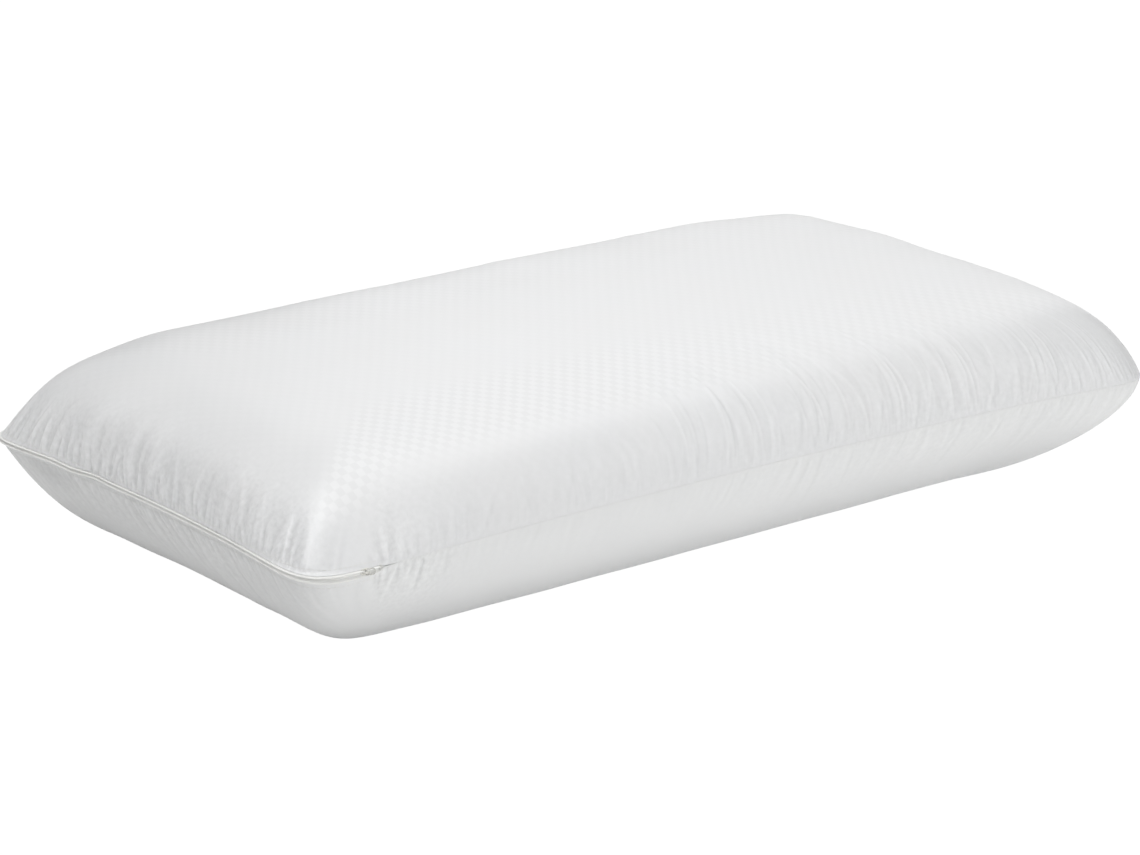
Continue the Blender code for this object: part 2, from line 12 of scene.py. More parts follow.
import bpy
import numpy as np
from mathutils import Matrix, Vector


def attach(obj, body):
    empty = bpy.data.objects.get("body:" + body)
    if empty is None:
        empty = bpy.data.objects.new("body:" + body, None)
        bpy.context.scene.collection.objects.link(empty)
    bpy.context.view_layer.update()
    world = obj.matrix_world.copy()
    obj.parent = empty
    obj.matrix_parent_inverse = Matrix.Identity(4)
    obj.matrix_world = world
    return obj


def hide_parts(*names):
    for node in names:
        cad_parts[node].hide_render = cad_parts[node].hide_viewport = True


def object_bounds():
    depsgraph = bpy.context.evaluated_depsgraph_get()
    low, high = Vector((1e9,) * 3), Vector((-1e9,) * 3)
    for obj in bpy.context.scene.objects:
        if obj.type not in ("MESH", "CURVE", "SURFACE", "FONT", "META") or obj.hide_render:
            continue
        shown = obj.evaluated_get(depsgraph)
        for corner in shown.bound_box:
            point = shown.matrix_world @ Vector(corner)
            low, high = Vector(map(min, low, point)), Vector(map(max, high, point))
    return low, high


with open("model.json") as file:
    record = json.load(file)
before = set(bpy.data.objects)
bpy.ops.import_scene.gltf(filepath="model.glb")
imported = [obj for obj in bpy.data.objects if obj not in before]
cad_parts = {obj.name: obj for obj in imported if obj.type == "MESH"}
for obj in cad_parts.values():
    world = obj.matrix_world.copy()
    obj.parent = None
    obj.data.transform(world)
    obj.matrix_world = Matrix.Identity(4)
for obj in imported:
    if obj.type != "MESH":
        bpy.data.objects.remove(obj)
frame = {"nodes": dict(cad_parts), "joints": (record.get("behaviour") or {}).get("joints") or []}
cad_low, cad_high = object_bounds()

# ---- shape, as in the CAD

LENGTH = 0.700
WIDTH = 0.3820
SEAM_HEIGHT = 0.0743
UPPER_RISE = 0.0523
CROWN = 0.0090
SHOULDER = 0.1229
CORNER_POWER = 6.6
CORNER_DROOP = 0.0055
DROOP_POWER = 6
SEAM_TILT = 0.0017
SEAM_BOW = 0.0040
END_PULL_IN = 0.0336
SIDE_PULL_IN = 0.0072
LOWER_PULL_IN = 0.0184
FLAT_SHARE = 0.15
UPPER_POWER = 4.30
UPPER_ROOT = 2.85
UPPER_CORNER_ROOT = 0.966
UPPER_CORNER_SLOPE = 0.166
LOWER_POWER = 2.46
LOWER_POWER_SLOPE = -0.344
LOWER_ROOT = 1.353
LOWER_CORNER_ROOT = 1.372
LOWER_CORNER_SLOPE = 0.244
CORNER_SPREAD = 1.02
HALF_LENGTH = LENGTH / 2
HALF_WIDTH = WIDTH / 2

# Cloth and seams
COVER_THICK = 0.0008
HEM = 0.0060
HEM_SHARE = 0.2  # of the hem, between the first rings of the inner face
SEAM_HALF_GAP = 0.00002
SEAM_ROLL = 0.00016  # radius of the panels' rolled edges along the sewn seam
ZIP_ROLL = 0.0008
ZIP_END_X = -0.2965
ZIP_TAPER = 0.0048
ZIP_WAVES = ((0.103, -0.0010, 0.012), (0.132, 0.0008, 0.011))  # along from the corner, rise, width
UPPER_OPENING = 0.0013  # from the zip's middle up to the top panel's edge, along the end
UPPER_OPENING_CORNER = 0.0017
LOWER_OPENING = 0.0026
LOWER_OPENING_CORNER = 0.0037
END_SHARE = 0.75  # of the corner's opening, what is left at the front end of the zip
SEAM_GAPE = 0.00026  # how far the seam opens beside the zip's ends, and over what distance
SEAM_GAPE_LENGTH = 0.011

# Mesh fineness
DENSE_STEPS = 1200
STATIONS = 2304  # a multiple of 32, because the inner rings have fewer and fewer points
FINE_STEP = 0.00074
COARSE_STEP = 0.0017
STEP_FADE = 0.02  # metres of seam over which the stations spread from fine to coarse
PROFILE_STEPS = 160
PROFILE_POWER = 2.4  # brings the steps of a profile closer together near the seam
UPPER_RINGS = 46
LOWER_RINGS = 42
EVEN_RINGS = 0.30  # share of the rings' spacing that is even; the rest is closer near the seam
RING_POWER = 1.7
THIN_FROM = (0.5, 0.8)  # shares of the rings from which every second point is left out
MOST_THIN = 5  # how often the points of a ring are halved at most
CENTRE_SCALES = (0.86, 0.70, 0.50, 0.28, 0.10)
SHARE_BLUR = 0.009  # metres of seam over which the corner rule is smoothed
NORMAL_STEP = 0.0015

ROLL_SHARES = (0.0, 0.3, 0.6, 0.85)
STITCH_RING = 2  # the ring of the panels that the zip's stitches follow
STITCH_GROOVE = 0.00010
STITCH_GROOVE_WIDTH = 0.0007


def dense_outline():
    """The seam's plan outline, anticlockwise from the middle of the +Y side: base + r * reach."""
    x = HALF_LENGTH - SHOULDER
    y = HALF_WIDTH - SHOULDER
    turn = np.linspace(0.0, math.pi / 2, DENSE_STEPS)
    near = np.abs(np.cos(turn)) ** (2 / CORNER_POWER)
    far = np.abs(np.sin(turn)) ** (2 / CORNER_POWER)
    near[-1] = 0.0
    run = np.linspace(0.0, 1.0, DENSE_STEPS)[1:-1, None]
    base = []
    reach = []

    def straight(start, end, direction):
        base.append(start + (end - start) * run)
        reach.append(np.tile(np.array(direction, float) * SHOULDER, (len(run), 1)))

    middle = np.array([0.0, y])
    place = middle
    for sign_x, sign_y, share_x, share_y, direction in (
        (-1, 1, far, near, (0, 1)),
        (-1, -1, near, far, (-1, 0)),
        (1, -1, far, near, (0, -1)),
        (1, 1, near, far, (1, 0)),
    ):
        corner = np.array([sign_x * x, sign_y * y])
        straight(place, corner, direction)
        base.append(np.tile(corner, (DENSE_STEPS, 1)))
        reach.append(np.stack([sign_x * share_x, sign_y * share_y], axis=1) * SHOULDER)
        place = corner
    straight(place, middle, (0, 1))
    return np.concatenate(base), np.concatenate(reach)


def corner_share(reach):
    u = np.abs(reach[..., 0])
    v = np.abs(reach[..., 1])
    return (2 * u * v / (u * u + v * v)) ** CORNER_SPREAD


def surface(base, reach, share, r, upper, scale=1.0):
    """Points of a panel's outer face at share r of the shoulder.  r may be an array of rings."""
    r = np.atleast_1d(np.asarray(r, float))[:, None]
    plan = (base[None] + r[..., None] * reach[None]) * scale
    end = plan[..., 0] / HALF_LENGTH
    across = np.abs(end)
    along = np.abs(plan[..., 1]) / HALF_WIDTH
    seam = SEAM_HEIGHT - CORNER_DROOP * (across * along) ** DROOP_POWER
    seam = seam + SEAM_TILT * end + SEAM_BOW * (1 - across**2)
    rise = np.maximum((r - FLAT_SHARE) / (1 - FLAT_SHARE), 0.0)
    if upper:
        corner_root = UPPER_CORNER_ROOT * (1 + UPPER_CORNER_SLOPE * end)
        root = UPPER_ROOT + (corner_root - UPPER_ROOT) * share
        fullness = np.maximum(1 - rise**UPPER_POWER, 0.0) ** (1 / root)
        z = seam + (SEAM_HEIGHT + UPPER_RISE - seam) * fullness
        z = z + CROWN * (1 - across**2) * (1 - along**2)
        end_pull = END_PULL_IN
    else:
        corner_root = LOWER_CORNER_ROOT * (1 + LOWER_CORNER_SLOPE * end)
        root = LOWER_ROOT + (corner_root - LOWER_ROOT) * share
        power = LOWER_POWER * (1 + LOWER_POWER_SLOPE * end)
        fullness = np.maximum(1 - rise**power, 0.0) ** (1 / root)
        z = seam * (1 - fullness)
        end_pull = END_PULL_IN + LOWER_PULL_IN * fullness
    x = plan[..., 0] * (1 - end_pull * (1 - along**2))
    y = plan[..., 1] * (1 - SIDE_PULL_IN * (1 - across**2))
    return np.stack([x, y, z], axis=-1)


def blur(values, sigma, step=1.0):
    """Gaussian blur along the last axis, which runs once round the pillow in equal steps."""
    count = values.shape[-1]
    gain = np.exp(-0.5 * (2 * math.pi * np.fft.rfftfreq(count, step) * sigma) ** 2)
    return np.fft.irfft(np.fft.rfft(values) * gain, count)


class SeamLine:
    """The seam and its stations, with the places that the folds and the zip refer to."""

    def __init__(self):
        base, reach = dense_outline()
        share = corner_share(reach)
        self.dense = surface(base, reach, share, 1.0, True)[0]
        step = np.linalg.norm(np.diff(self.dense, axis=0, append=self.dense[:1]), axis=1)
        arc = np.concatenate([[0.0], np.cumsum(step)])
        self.total = float(arc[-1])
        self.arc = arc[:-1]
        self.marks = self.find_marks()
        self.at = self.stations()
        self.base = self.sample(base, self.at)
        self.reach = self.sample(reach, self.at)
        self.share = self.blurred_share(share)
        for distance, rise, width in ZIP_WAVES:
            gap = (self.arc - self.marks["back_left"] - distance) / width
            self.dense[:, 2] += rise * np.exp(-(gap**2))
        self.points, self.normals = self.follow(self.at)

    def sample(self, values, at):
        at = np.mod(at, self.total)
        closed = np.vstack([values, values[:1]])
        arc = np.append(self.arc, self.total)
        return np.stack([np.interp(at, arc, closed[:, k]) for k in range(closed.shape[1])], axis=1)

    def follow(self, at):
        """Seam points and level normals, out of the pillow, at some distances along the seam."""
        ahead = self.sample(self.dense, at + NORMAL_STEP) - self.sample(self.dense, at - NORMAL_STEP)
        heading = ahead[:, :2] / np.linalg.norm(ahead[:, :2], axis=1, keepdims=True)
        normals = np.stack([heading[:, 1], -heading[:, 0], np.zeros(len(at))], axis=1)
        return self.sample(self.dense, at), normals

    def find_marks(self):
        """Distance along the seam of each corner, each side's middle and both ends of the zip."""
        x = self.dense[:, 0]
        y = self.dense[:, 1]

        def crossing(place, side):
            gap = np.where(y * side > HALF_WIDTH / 2, np.abs(x - place), np.inf)
            return float(self.arc[int(np.argmin(gap))])

        marks = {
            "back": 0.0,
            "front": crossing(0.0, -1),
            "zip_back": crossing(ZIP_END_X, 1),
            "zip_front": crossing(ZIP_END_X, -1),
        }
        for end, sign_x in (("left", -1), ("right", 1)):
            for side, sign_y in (("back", 1), ("front", -1)):
                farthest = np.argmax(sign_x * x / HALF_LENGTH + sign_y * y / HALF_WIDTH)
                marks[side + "_" + end] = float(self.arc[int(farthest)])
            marks[end] = (marks["back_" + end] + marks["front_" + end]) / 2
        return marks

    def table(self, **rows):
        """Distances along the seam and the values there, from mark={metres past it: value}."""
        pairs = [(self.marks[mark] + past, v) for mark, row in rows.items() for past, v in row.items()]
        return tuple(np.array(pairs).T)

    def rings(self, shares, upper, scale=1.0):
        return surface(self.base, self.reach, self.share, shares, upper, scale)

    def value(self, table, place):
        return np.interp(place, *table, period=self.total)

    def offset_from(self, place):
        """How far each station is past a place, the shorter way round."""
        return np.mod(self.at - place + self.total / 2, self.total) - self.total / 2

    def stations(self):
        """Distances along the seam, closer together where the folds are sharp."""
        at = np.linspace(0.0, self.total, 4 * STATIONS + 1)
        middle = (self.marks["back_left"] + self.marks["back_right"]) / 2
        half = (self.marks["back_right"] - self.marks["back_left"]) / 2
        fine = 1 / (1 + np.exp((np.abs(at - middle) - half) / STEP_FADE))
        density = 1 / COARSE_STEP + (1 / FINE_STEP - 1 / COARSE_STEP) * fine
        count = np.concatenate([[0.0], np.cumsum((density[1:] + density[:-1]) / 2)])
        return np.interp(np.arange(STATIONS) / STATIONS * count[-1], count, at)

    def blurred_share(self, share):
        even = np.arange(STATIONS) / STATIONS * self.total
        smooth = blur(self.sample(share[:, None], even)[:, 0], SHARE_BLUR, self.total / STATIONS)
        return np.interp(self.at, even, smooth, period=self.total)

    def opening(self, at, upper):
        """From the zip's middle to the panel's edge, at each of some distances along the seam."""
        end = UPPER_OPENING if upper else LOWER_OPENING
        corner = UPPER_OPENING_CORNER if upper else LOWER_OPENING_CORNER
        at = np.mod(at, self.total)
        wide = np.interp(at, *self.table(
            zip_back={0: corner}, back_left={0: end}, left={0: end},
            front_left={-0.035: end, -0.005: corner},
            zip_front={-0.016: corner, 0: END_SHARE * corner},
        ))
        inside = np.minimum(at - self.marks["zip_back"], self.marks["zip_front"] - at)
        t = np.clip((inside + ZIP_TAPER) / ZIP_TAPER, 0.0, 1.0)
        t = t * t * (3 - 2 * t)
        gape = SEAM_GAPE * np.exp(-((np.minimum(inside, 0.0) / SEAM_GAPE_LENGTH) ** 4))
        closed = SEAM_HALF_GAP + gape
        return closed + (wide - closed) * t


line = SeamLine()
MARK = line.marks

# ---- folds

# What varies within a family of folds: a share of the spacing, then factors from and to
PLACE_SHIFT = 0.42
GROUP_RISE = (0.4, 1.3)
GROUP_SPREAD = (0.75, 1.25)
FOLD_RISE = (0.7, 1.15)
FOLD_LENGTH = (0.55, 1.25)
FOLD_WIDTH = (0.75, 1.3)
FOLD_START = (0.0, 2.0)
SUNKEN_SHARE = 0.35  # of the folds, those that are creases and not ridges
SUNKEN_RISE = -0.8
LEAST_RISE = 1e-5
RIDGE_POWER = 1.6
VALLEY_SHARE = 0.45
VALLEY_WIDTH = 2.2  # in widths of the fold
FADE_POWER = 1.2  # how a fold fades inwards, after its highest part
FADE_FULL = 0.6
FOLD_REACH = 5  # widths beyond which a fold adds nothing
SWELLS = 9
SWELL_WAVES = (0.07, 0.16)


def ridge(x):
    """Section of one fold: a ridge with a shallow valley on each side."""
    return np.exp(-np.abs(x) ** RIDGE_POWER) - VALLEY_SHARE * np.exp(-((x / VALLEY_WIDTH) ** 2))


def swell(height, depth, place, rise, width, length):
    """Adds one broad, soft swelling or hollow that starts at the seam; also used to add painted shade to a
    hollow.
    """
    t = np.clip(depth / length, 0.0, 1.0)
    along = np.exp(-((line.offset_from(place)[None] / width) ** 2))
    height += rise * np.sin(math.pi * t**0.6) ** 2 * along


class Folds:
    """Fold heights of one panel, rings by stations like depth, the distance from the seam."""

    def __init__(self, depth, seed, strength, length, lean=None):
        self.depth = depth
        self.height = np.zeros_like(depth)
        self.rng = np.random.default_rng(seed)
        self.strength = strength
        self.length = length
        self.lean = lean

    def press(self, place, rise, width, length, lean=0.0, bend=0.0, start=0.0, widen=0.8, ramp=0.06):
        """One fold that starts at the seam and runs inwards.

        It leans by `lean` for each metre inwards, and `bend` more towards its end.
        """
        offset = line.offset_from(place)
        reach = (abs(lean) + abs(bend)) * length + FOLD_REACH * width * (1 + widen)
        columns = np.nonzero(np.abs(offset) < reach)[0]
        far = self.depth[:, columns] - start
        t = np.clip(far / length, 0.0, 1.0)
        path = lean * far + bend * far * t
        envelope = np.minimum(t / ramp, 1.0) * (1 - t) ** FADE_POWER * (1 + FADE_FULL * t)
        across = (offset[None, columns] - path) / (width * (1 + widen * t))
        self.height[:, columns] += rise * envelope * ridge(across)

    def family(self, spacing, rise, width, length, strength=None, wander=0.12, start=0.0, group=1,
               group_gap=0.0, **form):
        """Folds all round the seam; the panel's tables scale their rise and length."""
        rng = self.rng
        rises = (strength or self.strength)[0], (strength or self.strength)[1] * rise
        lengths = self.length[0], self.length[1] * length
        for i in range(int(round(line.total / spacing))):
            centre = (i + rng.uniform(-PLACE_SHIFT, PLACE_SHIFT)) * spacing
            size = rng.uniform(*GROUP_RISE)
            members = int(rng.integers(1, group + 1)) if group > 1 else 1
            for member in range(members):
                place = centre + member * group_gap * rng.uniform(*GROUP_SPREAD)
                high = size * rng.uniform(*FOLD_RISE) * line.value(rises, place)
                sunken = rng.random() < SUNKEN_SHARE
                run = rng.uniform(*FOLD_LENGTH) * line.value(lengths, place)
                broad = width * rng.uniform(*FOLD_WIDTH)
                lean = (line.value(self.lean, place) if self.lean else 0.0) + rng.normal(0.0, wander)
                bend = rng.normal(0.0, wander)
                begin = start * rng.uniform(*FOLD_START)
                if sunken:
                    high = SUNKEN_RISE * high
                if abs(high) > LEAST_RISE:
                    self.press(place, high, broad, run, lean, bend, begin, **form)

    def slow_swells(self, rise, place):
        """Slow swells all over the cloth."""
        total = np.zeros(place.shape[:-1])
        for _ in range(SWELLS):
            wave = self.rng.uniform(*SWELL_WAVES)
            angle = self.rng.uniform(0.0, 2 * math.pi)
            phase = self.rng.uniform(0.0, 2 * math.pi)
            ahead = place[..., 0] * math.cos(angle) + place[..., 1] * math.sin(angle)
            total += np.sin(2 * math.pi * ahead / wave + phase)
        self.height += rise * (total / math.sqrt(SWELLS))


UPPER_GATHER = line.table(  # how strongly the top panel's edge is gathered into the seam
    back={0: 0.45}, zip_back={0: 0.5}, back_left={0.02: 1.35}, left={-0.04: 2.3, 0.02: 1.8, 0.07: 1.1},
    front_left={-0.03: 0.95, -0.01: 0.45, 0.01: 0.15},
    zip_front={-0.008: 0.20, 0.004: 0.85, 0.035: 0.40, 0.09: 0.18},
    front={-0.06: 0.20, 0: 0.28, 0.10: 0.40}, front_right={-0.10: 0.47, 0: 0.36}, right={0: 0.48},
    back_right={0: 0.60, 0.12: 0.55},
)
UPPER_LENGTH = line.table(
    back={0: 0.060}, back_left={0: 0.036}, left={-0.04: 0.031, 0.04: 0.033}, front_left={0: 0.030},
    zip_front={0: 0.026}, front={-0.08: 0.062, 0: 0.082, 0.10: 0.086, 0.18: 0.072},
    front_right={-0.06: 0.056}, right={0: 0.055}, back_right={0: 0.060},
)
LONG_FOLDS = line.table(  # the long sharp folds that climb the shoulder
    back={0: 0.35}, zip_back={0: 0.2}, back_left={0: 0.1}, left={0: 0.1}, front_left={-0.04: 0},
    front={-0.12: 0, -0.07: 0.45, 0: 0.75, 0.06: 1.0}, front_right={-0.10: 1.0, -0.03: 0.8, 0.02: 0.5},
    right={0: 0.4}, back_right={0: 0.6, 0.15: 0.4},
)
LOWER_GATHER = line.table(
    back={0: 0.35}, back_left={0: 0.7}, left={-0.10: 0.75, 0: 1.0, 0.10: 0.9},
    front_left={-0.02: 0.45, 0.01: 0.10}, zip_front={-0.006: 0.25, 0.002: 1.3, 0.04: 0.8, 0.07: 0.15},
    front={-0.06: 0.10, 0: 0.25, 0.10: 0.40}, front_right={0: 0.45}, right={0: 0.60},
    back_right={0: 0.60},
)
LOWER_LENGTH = line.table(
    back={0: 0.040}, back_left={0: 0.045}, left={0: 0.060}, front_left={0: 0.045},
    zip_front={0: 0.022, 0.05: 0.030}, front={0: 0.045}, front_right={0: 0.045}, right={0: 0.050},
    back_right={0: 0.050},
)
LOWER_LEAN = line.table(
    back_left={0: 0.15}, left={0: 0.25}, front_left={-0.02: 0.20}, zip_front={0.01: -0.15},
    front={0: -0.10}, right={0: 0}, back={0: 0},
)

# Families of folds: spacing, rise where the gather is 1, width, share of the tabled length, and what
# differs from an ordinary fold
UPPER_FAMILIES = (
    (0.0031, 0.00042, 0.00075, 0.35, {}),
    (0.0058, 0.00105, 0.00100, 0.70, {}),
    (0.0105, 0.00150, 0.00160, 1.0, {"start": 0.001, "wander": 0.17}),
    (0.0210, 0.00150, 0.00360, 1.1, {"start": 0.002, "ramp": 0.15}),
    (0.0155, 0.00090, 0.00100, 1.6, {"strength": LONG_FOLDS, "wander": 0.06, "start": 0.004,
                                     "widen": 0.45, "ramp": 0.16, "group": 2, "group_gap": 0.0075}),
    (0.0550, 0.00150, 0.00950, 1.7, {"widen": 0.3, "ramp": 0.3}),
)
LOWER_FAMILIES = (
    (0.0036, 0.00028, 0.0008, 0.30, {}),
    (0.0072, 0.00095, 0.0013, 0.75, {}),
    (0.0135, 0.00130, 0.0019, 1.1, {"start": 0.001}),
    (0.0400, 0.00080, 0.0070, 1.3, {"ramp": 0.2}),
)
# Single folds: a mark, metres past it, rise, width, length, and what differs from an ordinary fold
UPPER_SINGLES = (
    ("front_left", -0.013, 0.0022, 0.0070, 0.044, {"ramp": 0.12, "widen": 0.3}),
    ("front_left", -0.026, -0.0009, 0.0035, 0.040, {"ramp": 0.08}),
    ("zip_front", 0.0030, -0.0011, 0.0011, 0.018, {"lean": -0.30, "ramp": 0.08}),
    ("zip_front", 0.0065, 0.0006, 0.0012, 0.013, {"lean": -0.15, "ramp": 0.08}),
)
LOWER_SINGLES = (
    ("zip_front", 0.0010, -0.0014, 0.0010, 0.018, {"lean": -0.10, "ramp": 0.08}),
    ("zip_front", 0.0065, -0.0009, 0.0012, 0.014, {"lean": -0.10, "ramp": 0.08}),
    ("zip_front", 0.0150, -0.0011, 0.0013, 0.020, {"lean": -0.14, "ramp": 0.10}),
    ("zip_front", 0.0225, 0.0009, 0.0018, 0.024, {"lean": -0.14, "ramp": 0.10}),
    ("zip_front", 0.0335, -0.0022, 0.0013, 0.032, {"lean": -0.16, "ramp": 0.12}),
    ("back_left", 0.103, 0.0016, 0.0040, 0.040, {"lean": 0.30, "ramp": 0.10}),
)
# Hollows of the lower panel: place, rise, width along the seam, length. The first also gets painted shade
# in the cloth's colour.
HOLLOW = (MARK["back_left"] + 0.070, -0.0016, 0.024, 0.032)  # under the zip at the far corner
END_HOLLOW = (MARK["left"] - 0.060, -0.0014, 0.075, 0.150)
PANELS = {  # upper or not: seed, gather, length and lean, families, singles, hollows, slow swells
    True: (11, UPPER_GATHER, UPPER_LENGTH, None, UPPER_FAMILIES, UPPER_SINGLES, (), 0.00020),
    False: (23, LOWER_GATHER, LOWER_LENGTH, LOWER_LEAN, LOWER_FAMILIES, LOWER_SINGLES,
            (HOLLOW, END_HOLLOW), 0.00018),
}


def panel_folds(depth, cloth, upper):
    seed, gather, lengths, lean, families, singles, hollows, slow = PANELS[upper]
    folds = Folds(depth, seed, gather, lengths, lean)
    for spacing, rise, width, length, form in families:
        folds.family(spacing, rise, width, length, **form)
    for mark, past, rise, width, length, form in singles:
        folds.press(MARK[mark] + past, rise, width, length, **form)
    for hollow in hollows:
        swell(folds.height, depth, *hollow)
    folds.slow_swells(slow, cloth)
    return folds.height


# ---- cloth panels

INNER_ROOM = 0.0012  # how far the cover can sink before it touches the inner cover
EDGE_REACH = 0.0008  # the folds fade out this close to the rolled edge
SLACK_REACH = 0.045
MOST_SLACK = 0.95
INNER_START = 3  # of the panel's rings, the first and every which one that the inner face follows
INNER_STEP = 5
INNER_SCALE = 0.5
# How the painted fold shade is found: cloth lower than the cloth beside it is darkened, and higher cloth is
# lightened as a painted highlight
NARROW_VALLEY = 5  # stations over which a fold is compared with the cloth beside it
WIDE_VALLEY = 16
WIDE_VALLEY_SHARE = 0.5
VALLEY_DEPTH = 0.0006
PAINTED_RIDGE_HIGHLIGHT = 0.6
NO_LOOK = (0.0, 0.0, 1.0)  # neither valley nor slack, and far from the seam


def unit(vectors):
    return vectors / np.maximum(np.linalg.norm(vectors, axis=-1, keepdims=True), 1e-12)


def grid_normals(rows, upper):
    """Normals of rings by stations, pointing out of the pillow."""
    around = np.roll(rows, -1, axis=1) - np.roll(rows, 1, axis=1)
    inward = np.empty_like(rows)
    inward[1:-1] = rows[2:] - rows[:-2]
    inward[0] = rows[1] - rows[0]
    inward[-1] = rows[-1] - rows[-2]
    normals = unit(np.cross(around, inward))
    return normals if upper else -normals


def stack_rings(rings, tip):
    """Points and faces of closed rings.  A ring has as many points as the one before it, or half."""
    starts = np.concatenate([[0], np.cumsum([len(ring) for ring in rings])])
    faces = []
    for a, b, n, m in zip(starts[:-1].tolist(), starts[1:].tolist(), map(len, rings), map(len, rings[1:])):
        for i in range(m):
            j = (i + 1) % m
            if n == m:
                faces.append((a + i, a + j, b + j, b + i))
            else:
                last = (2 * i + 2) % n
                faces.append((a + 2 * i, a + 2 * i + 1, b + i))
                faces.append((a + 2 * i + 1, b + j, b + i))
                faces.append((a + 2 * i + 1, a + last, b + j))
    n = len(rings[-1])
    a = int(starts[-2])
    top = int(starts[-1])
    faces += [(a + i, a + (i + 1) % n, top) for i in range(n)]
    return np.vstack([*rings, tip]), faces


def mesh_object(name, verts, faces, material, body, slot):
    """A piece of the visual model.  Points may carry more than their place: see with_look."""
    mesh = bpy.data.meshes.new(name)
    mesh.from_pydata([tuple(map(float, v[:3])) for v in verts], [], faces)
    mesh.shade_smooth()
    mesh.materials.append(material)
    if verts.shape[1] > 3:
        for attribute, columns in (("cloth", verts[:, 3:6]), ("shade", verts[:, 6:9])):
            values = mesh.attributes.new(attribute, "FLOAT_VECTOR", "POINT")
            values.data.foreach_set("vector", columns.astype(np.float32).ravel())
    item = bpy.data.objects.new(name, mesh)
    bpy.context.scene.collection.objects.link(item)
    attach(item, body)
    return item


def with_look(points, cloth=0.0, look=NO_LOOK):
    """Points, then their place on the flat cloth, then valley (painted shade) or ridge (painted highlight),
    slack and metres from the seam.
    """
    points = np.atleast_2d(points)
    rest = np.zeros((len(points), 6))
    rest[:, :2] = cloth
    rest[:, 3:] = look
    return np.hstack([points, rest])


def thin(ring, times):
    return ring[:: 2**times]


def panel_rings(upper, rings, opening, roll):
    """A panel without its folds: its rings, their distance from the seam, and their flat cloth."""
    fine = 1 - (1 - FLAT_SHARE) * np.linspace(0.0, 1.0, PROFILE_STEPS) ** PROFILE_POWER
    profile = line.rings(fine, upper)
    gap = np.linalg.norm(np.diff(profile, axis=0), axis=2)
    arc = np.vstack([np.zeros(STATIONS), np.cumsum(gap, axis=0)])
    shares = np.linspace(0.0, 1.0, rings)
    shares = EVEN_RINGS * shares + (1 - EVEN_RINGS) * shares**RING_POWER
    first = np.empty(STATIONS)  # where each profile clears the opening and the rolled edge
    rows = np.empty((rings, STATIONS, 3))
    depth = np.empty((rings, STATIONS))
    for s in range(STATIONS):
        climb = np.abs(profile[:, s, 2] - profile[0, s, 2])
        first[s] = np.interp(opening[s] + roll[s], climb, arc[:, s])
        depth[:, s] = first[s] + (arc[-1, s] - first[s]) * shares
        for k in range(3):
            rows[:, s, k] = np.interp(depth[:, s], arc[:, s], profile[:, s, k])
    outward = line.reach / np.linalg.norm(line.reach, axis=1, keepdims=True)
    flat_edge = line.base + FLAT_SHARE * line.reach
    flat = flat_edge[None] + outward[None] * (arc[-1][None] - depth)[..., None]
    return rows, depth - first[None], flat, flat_edge


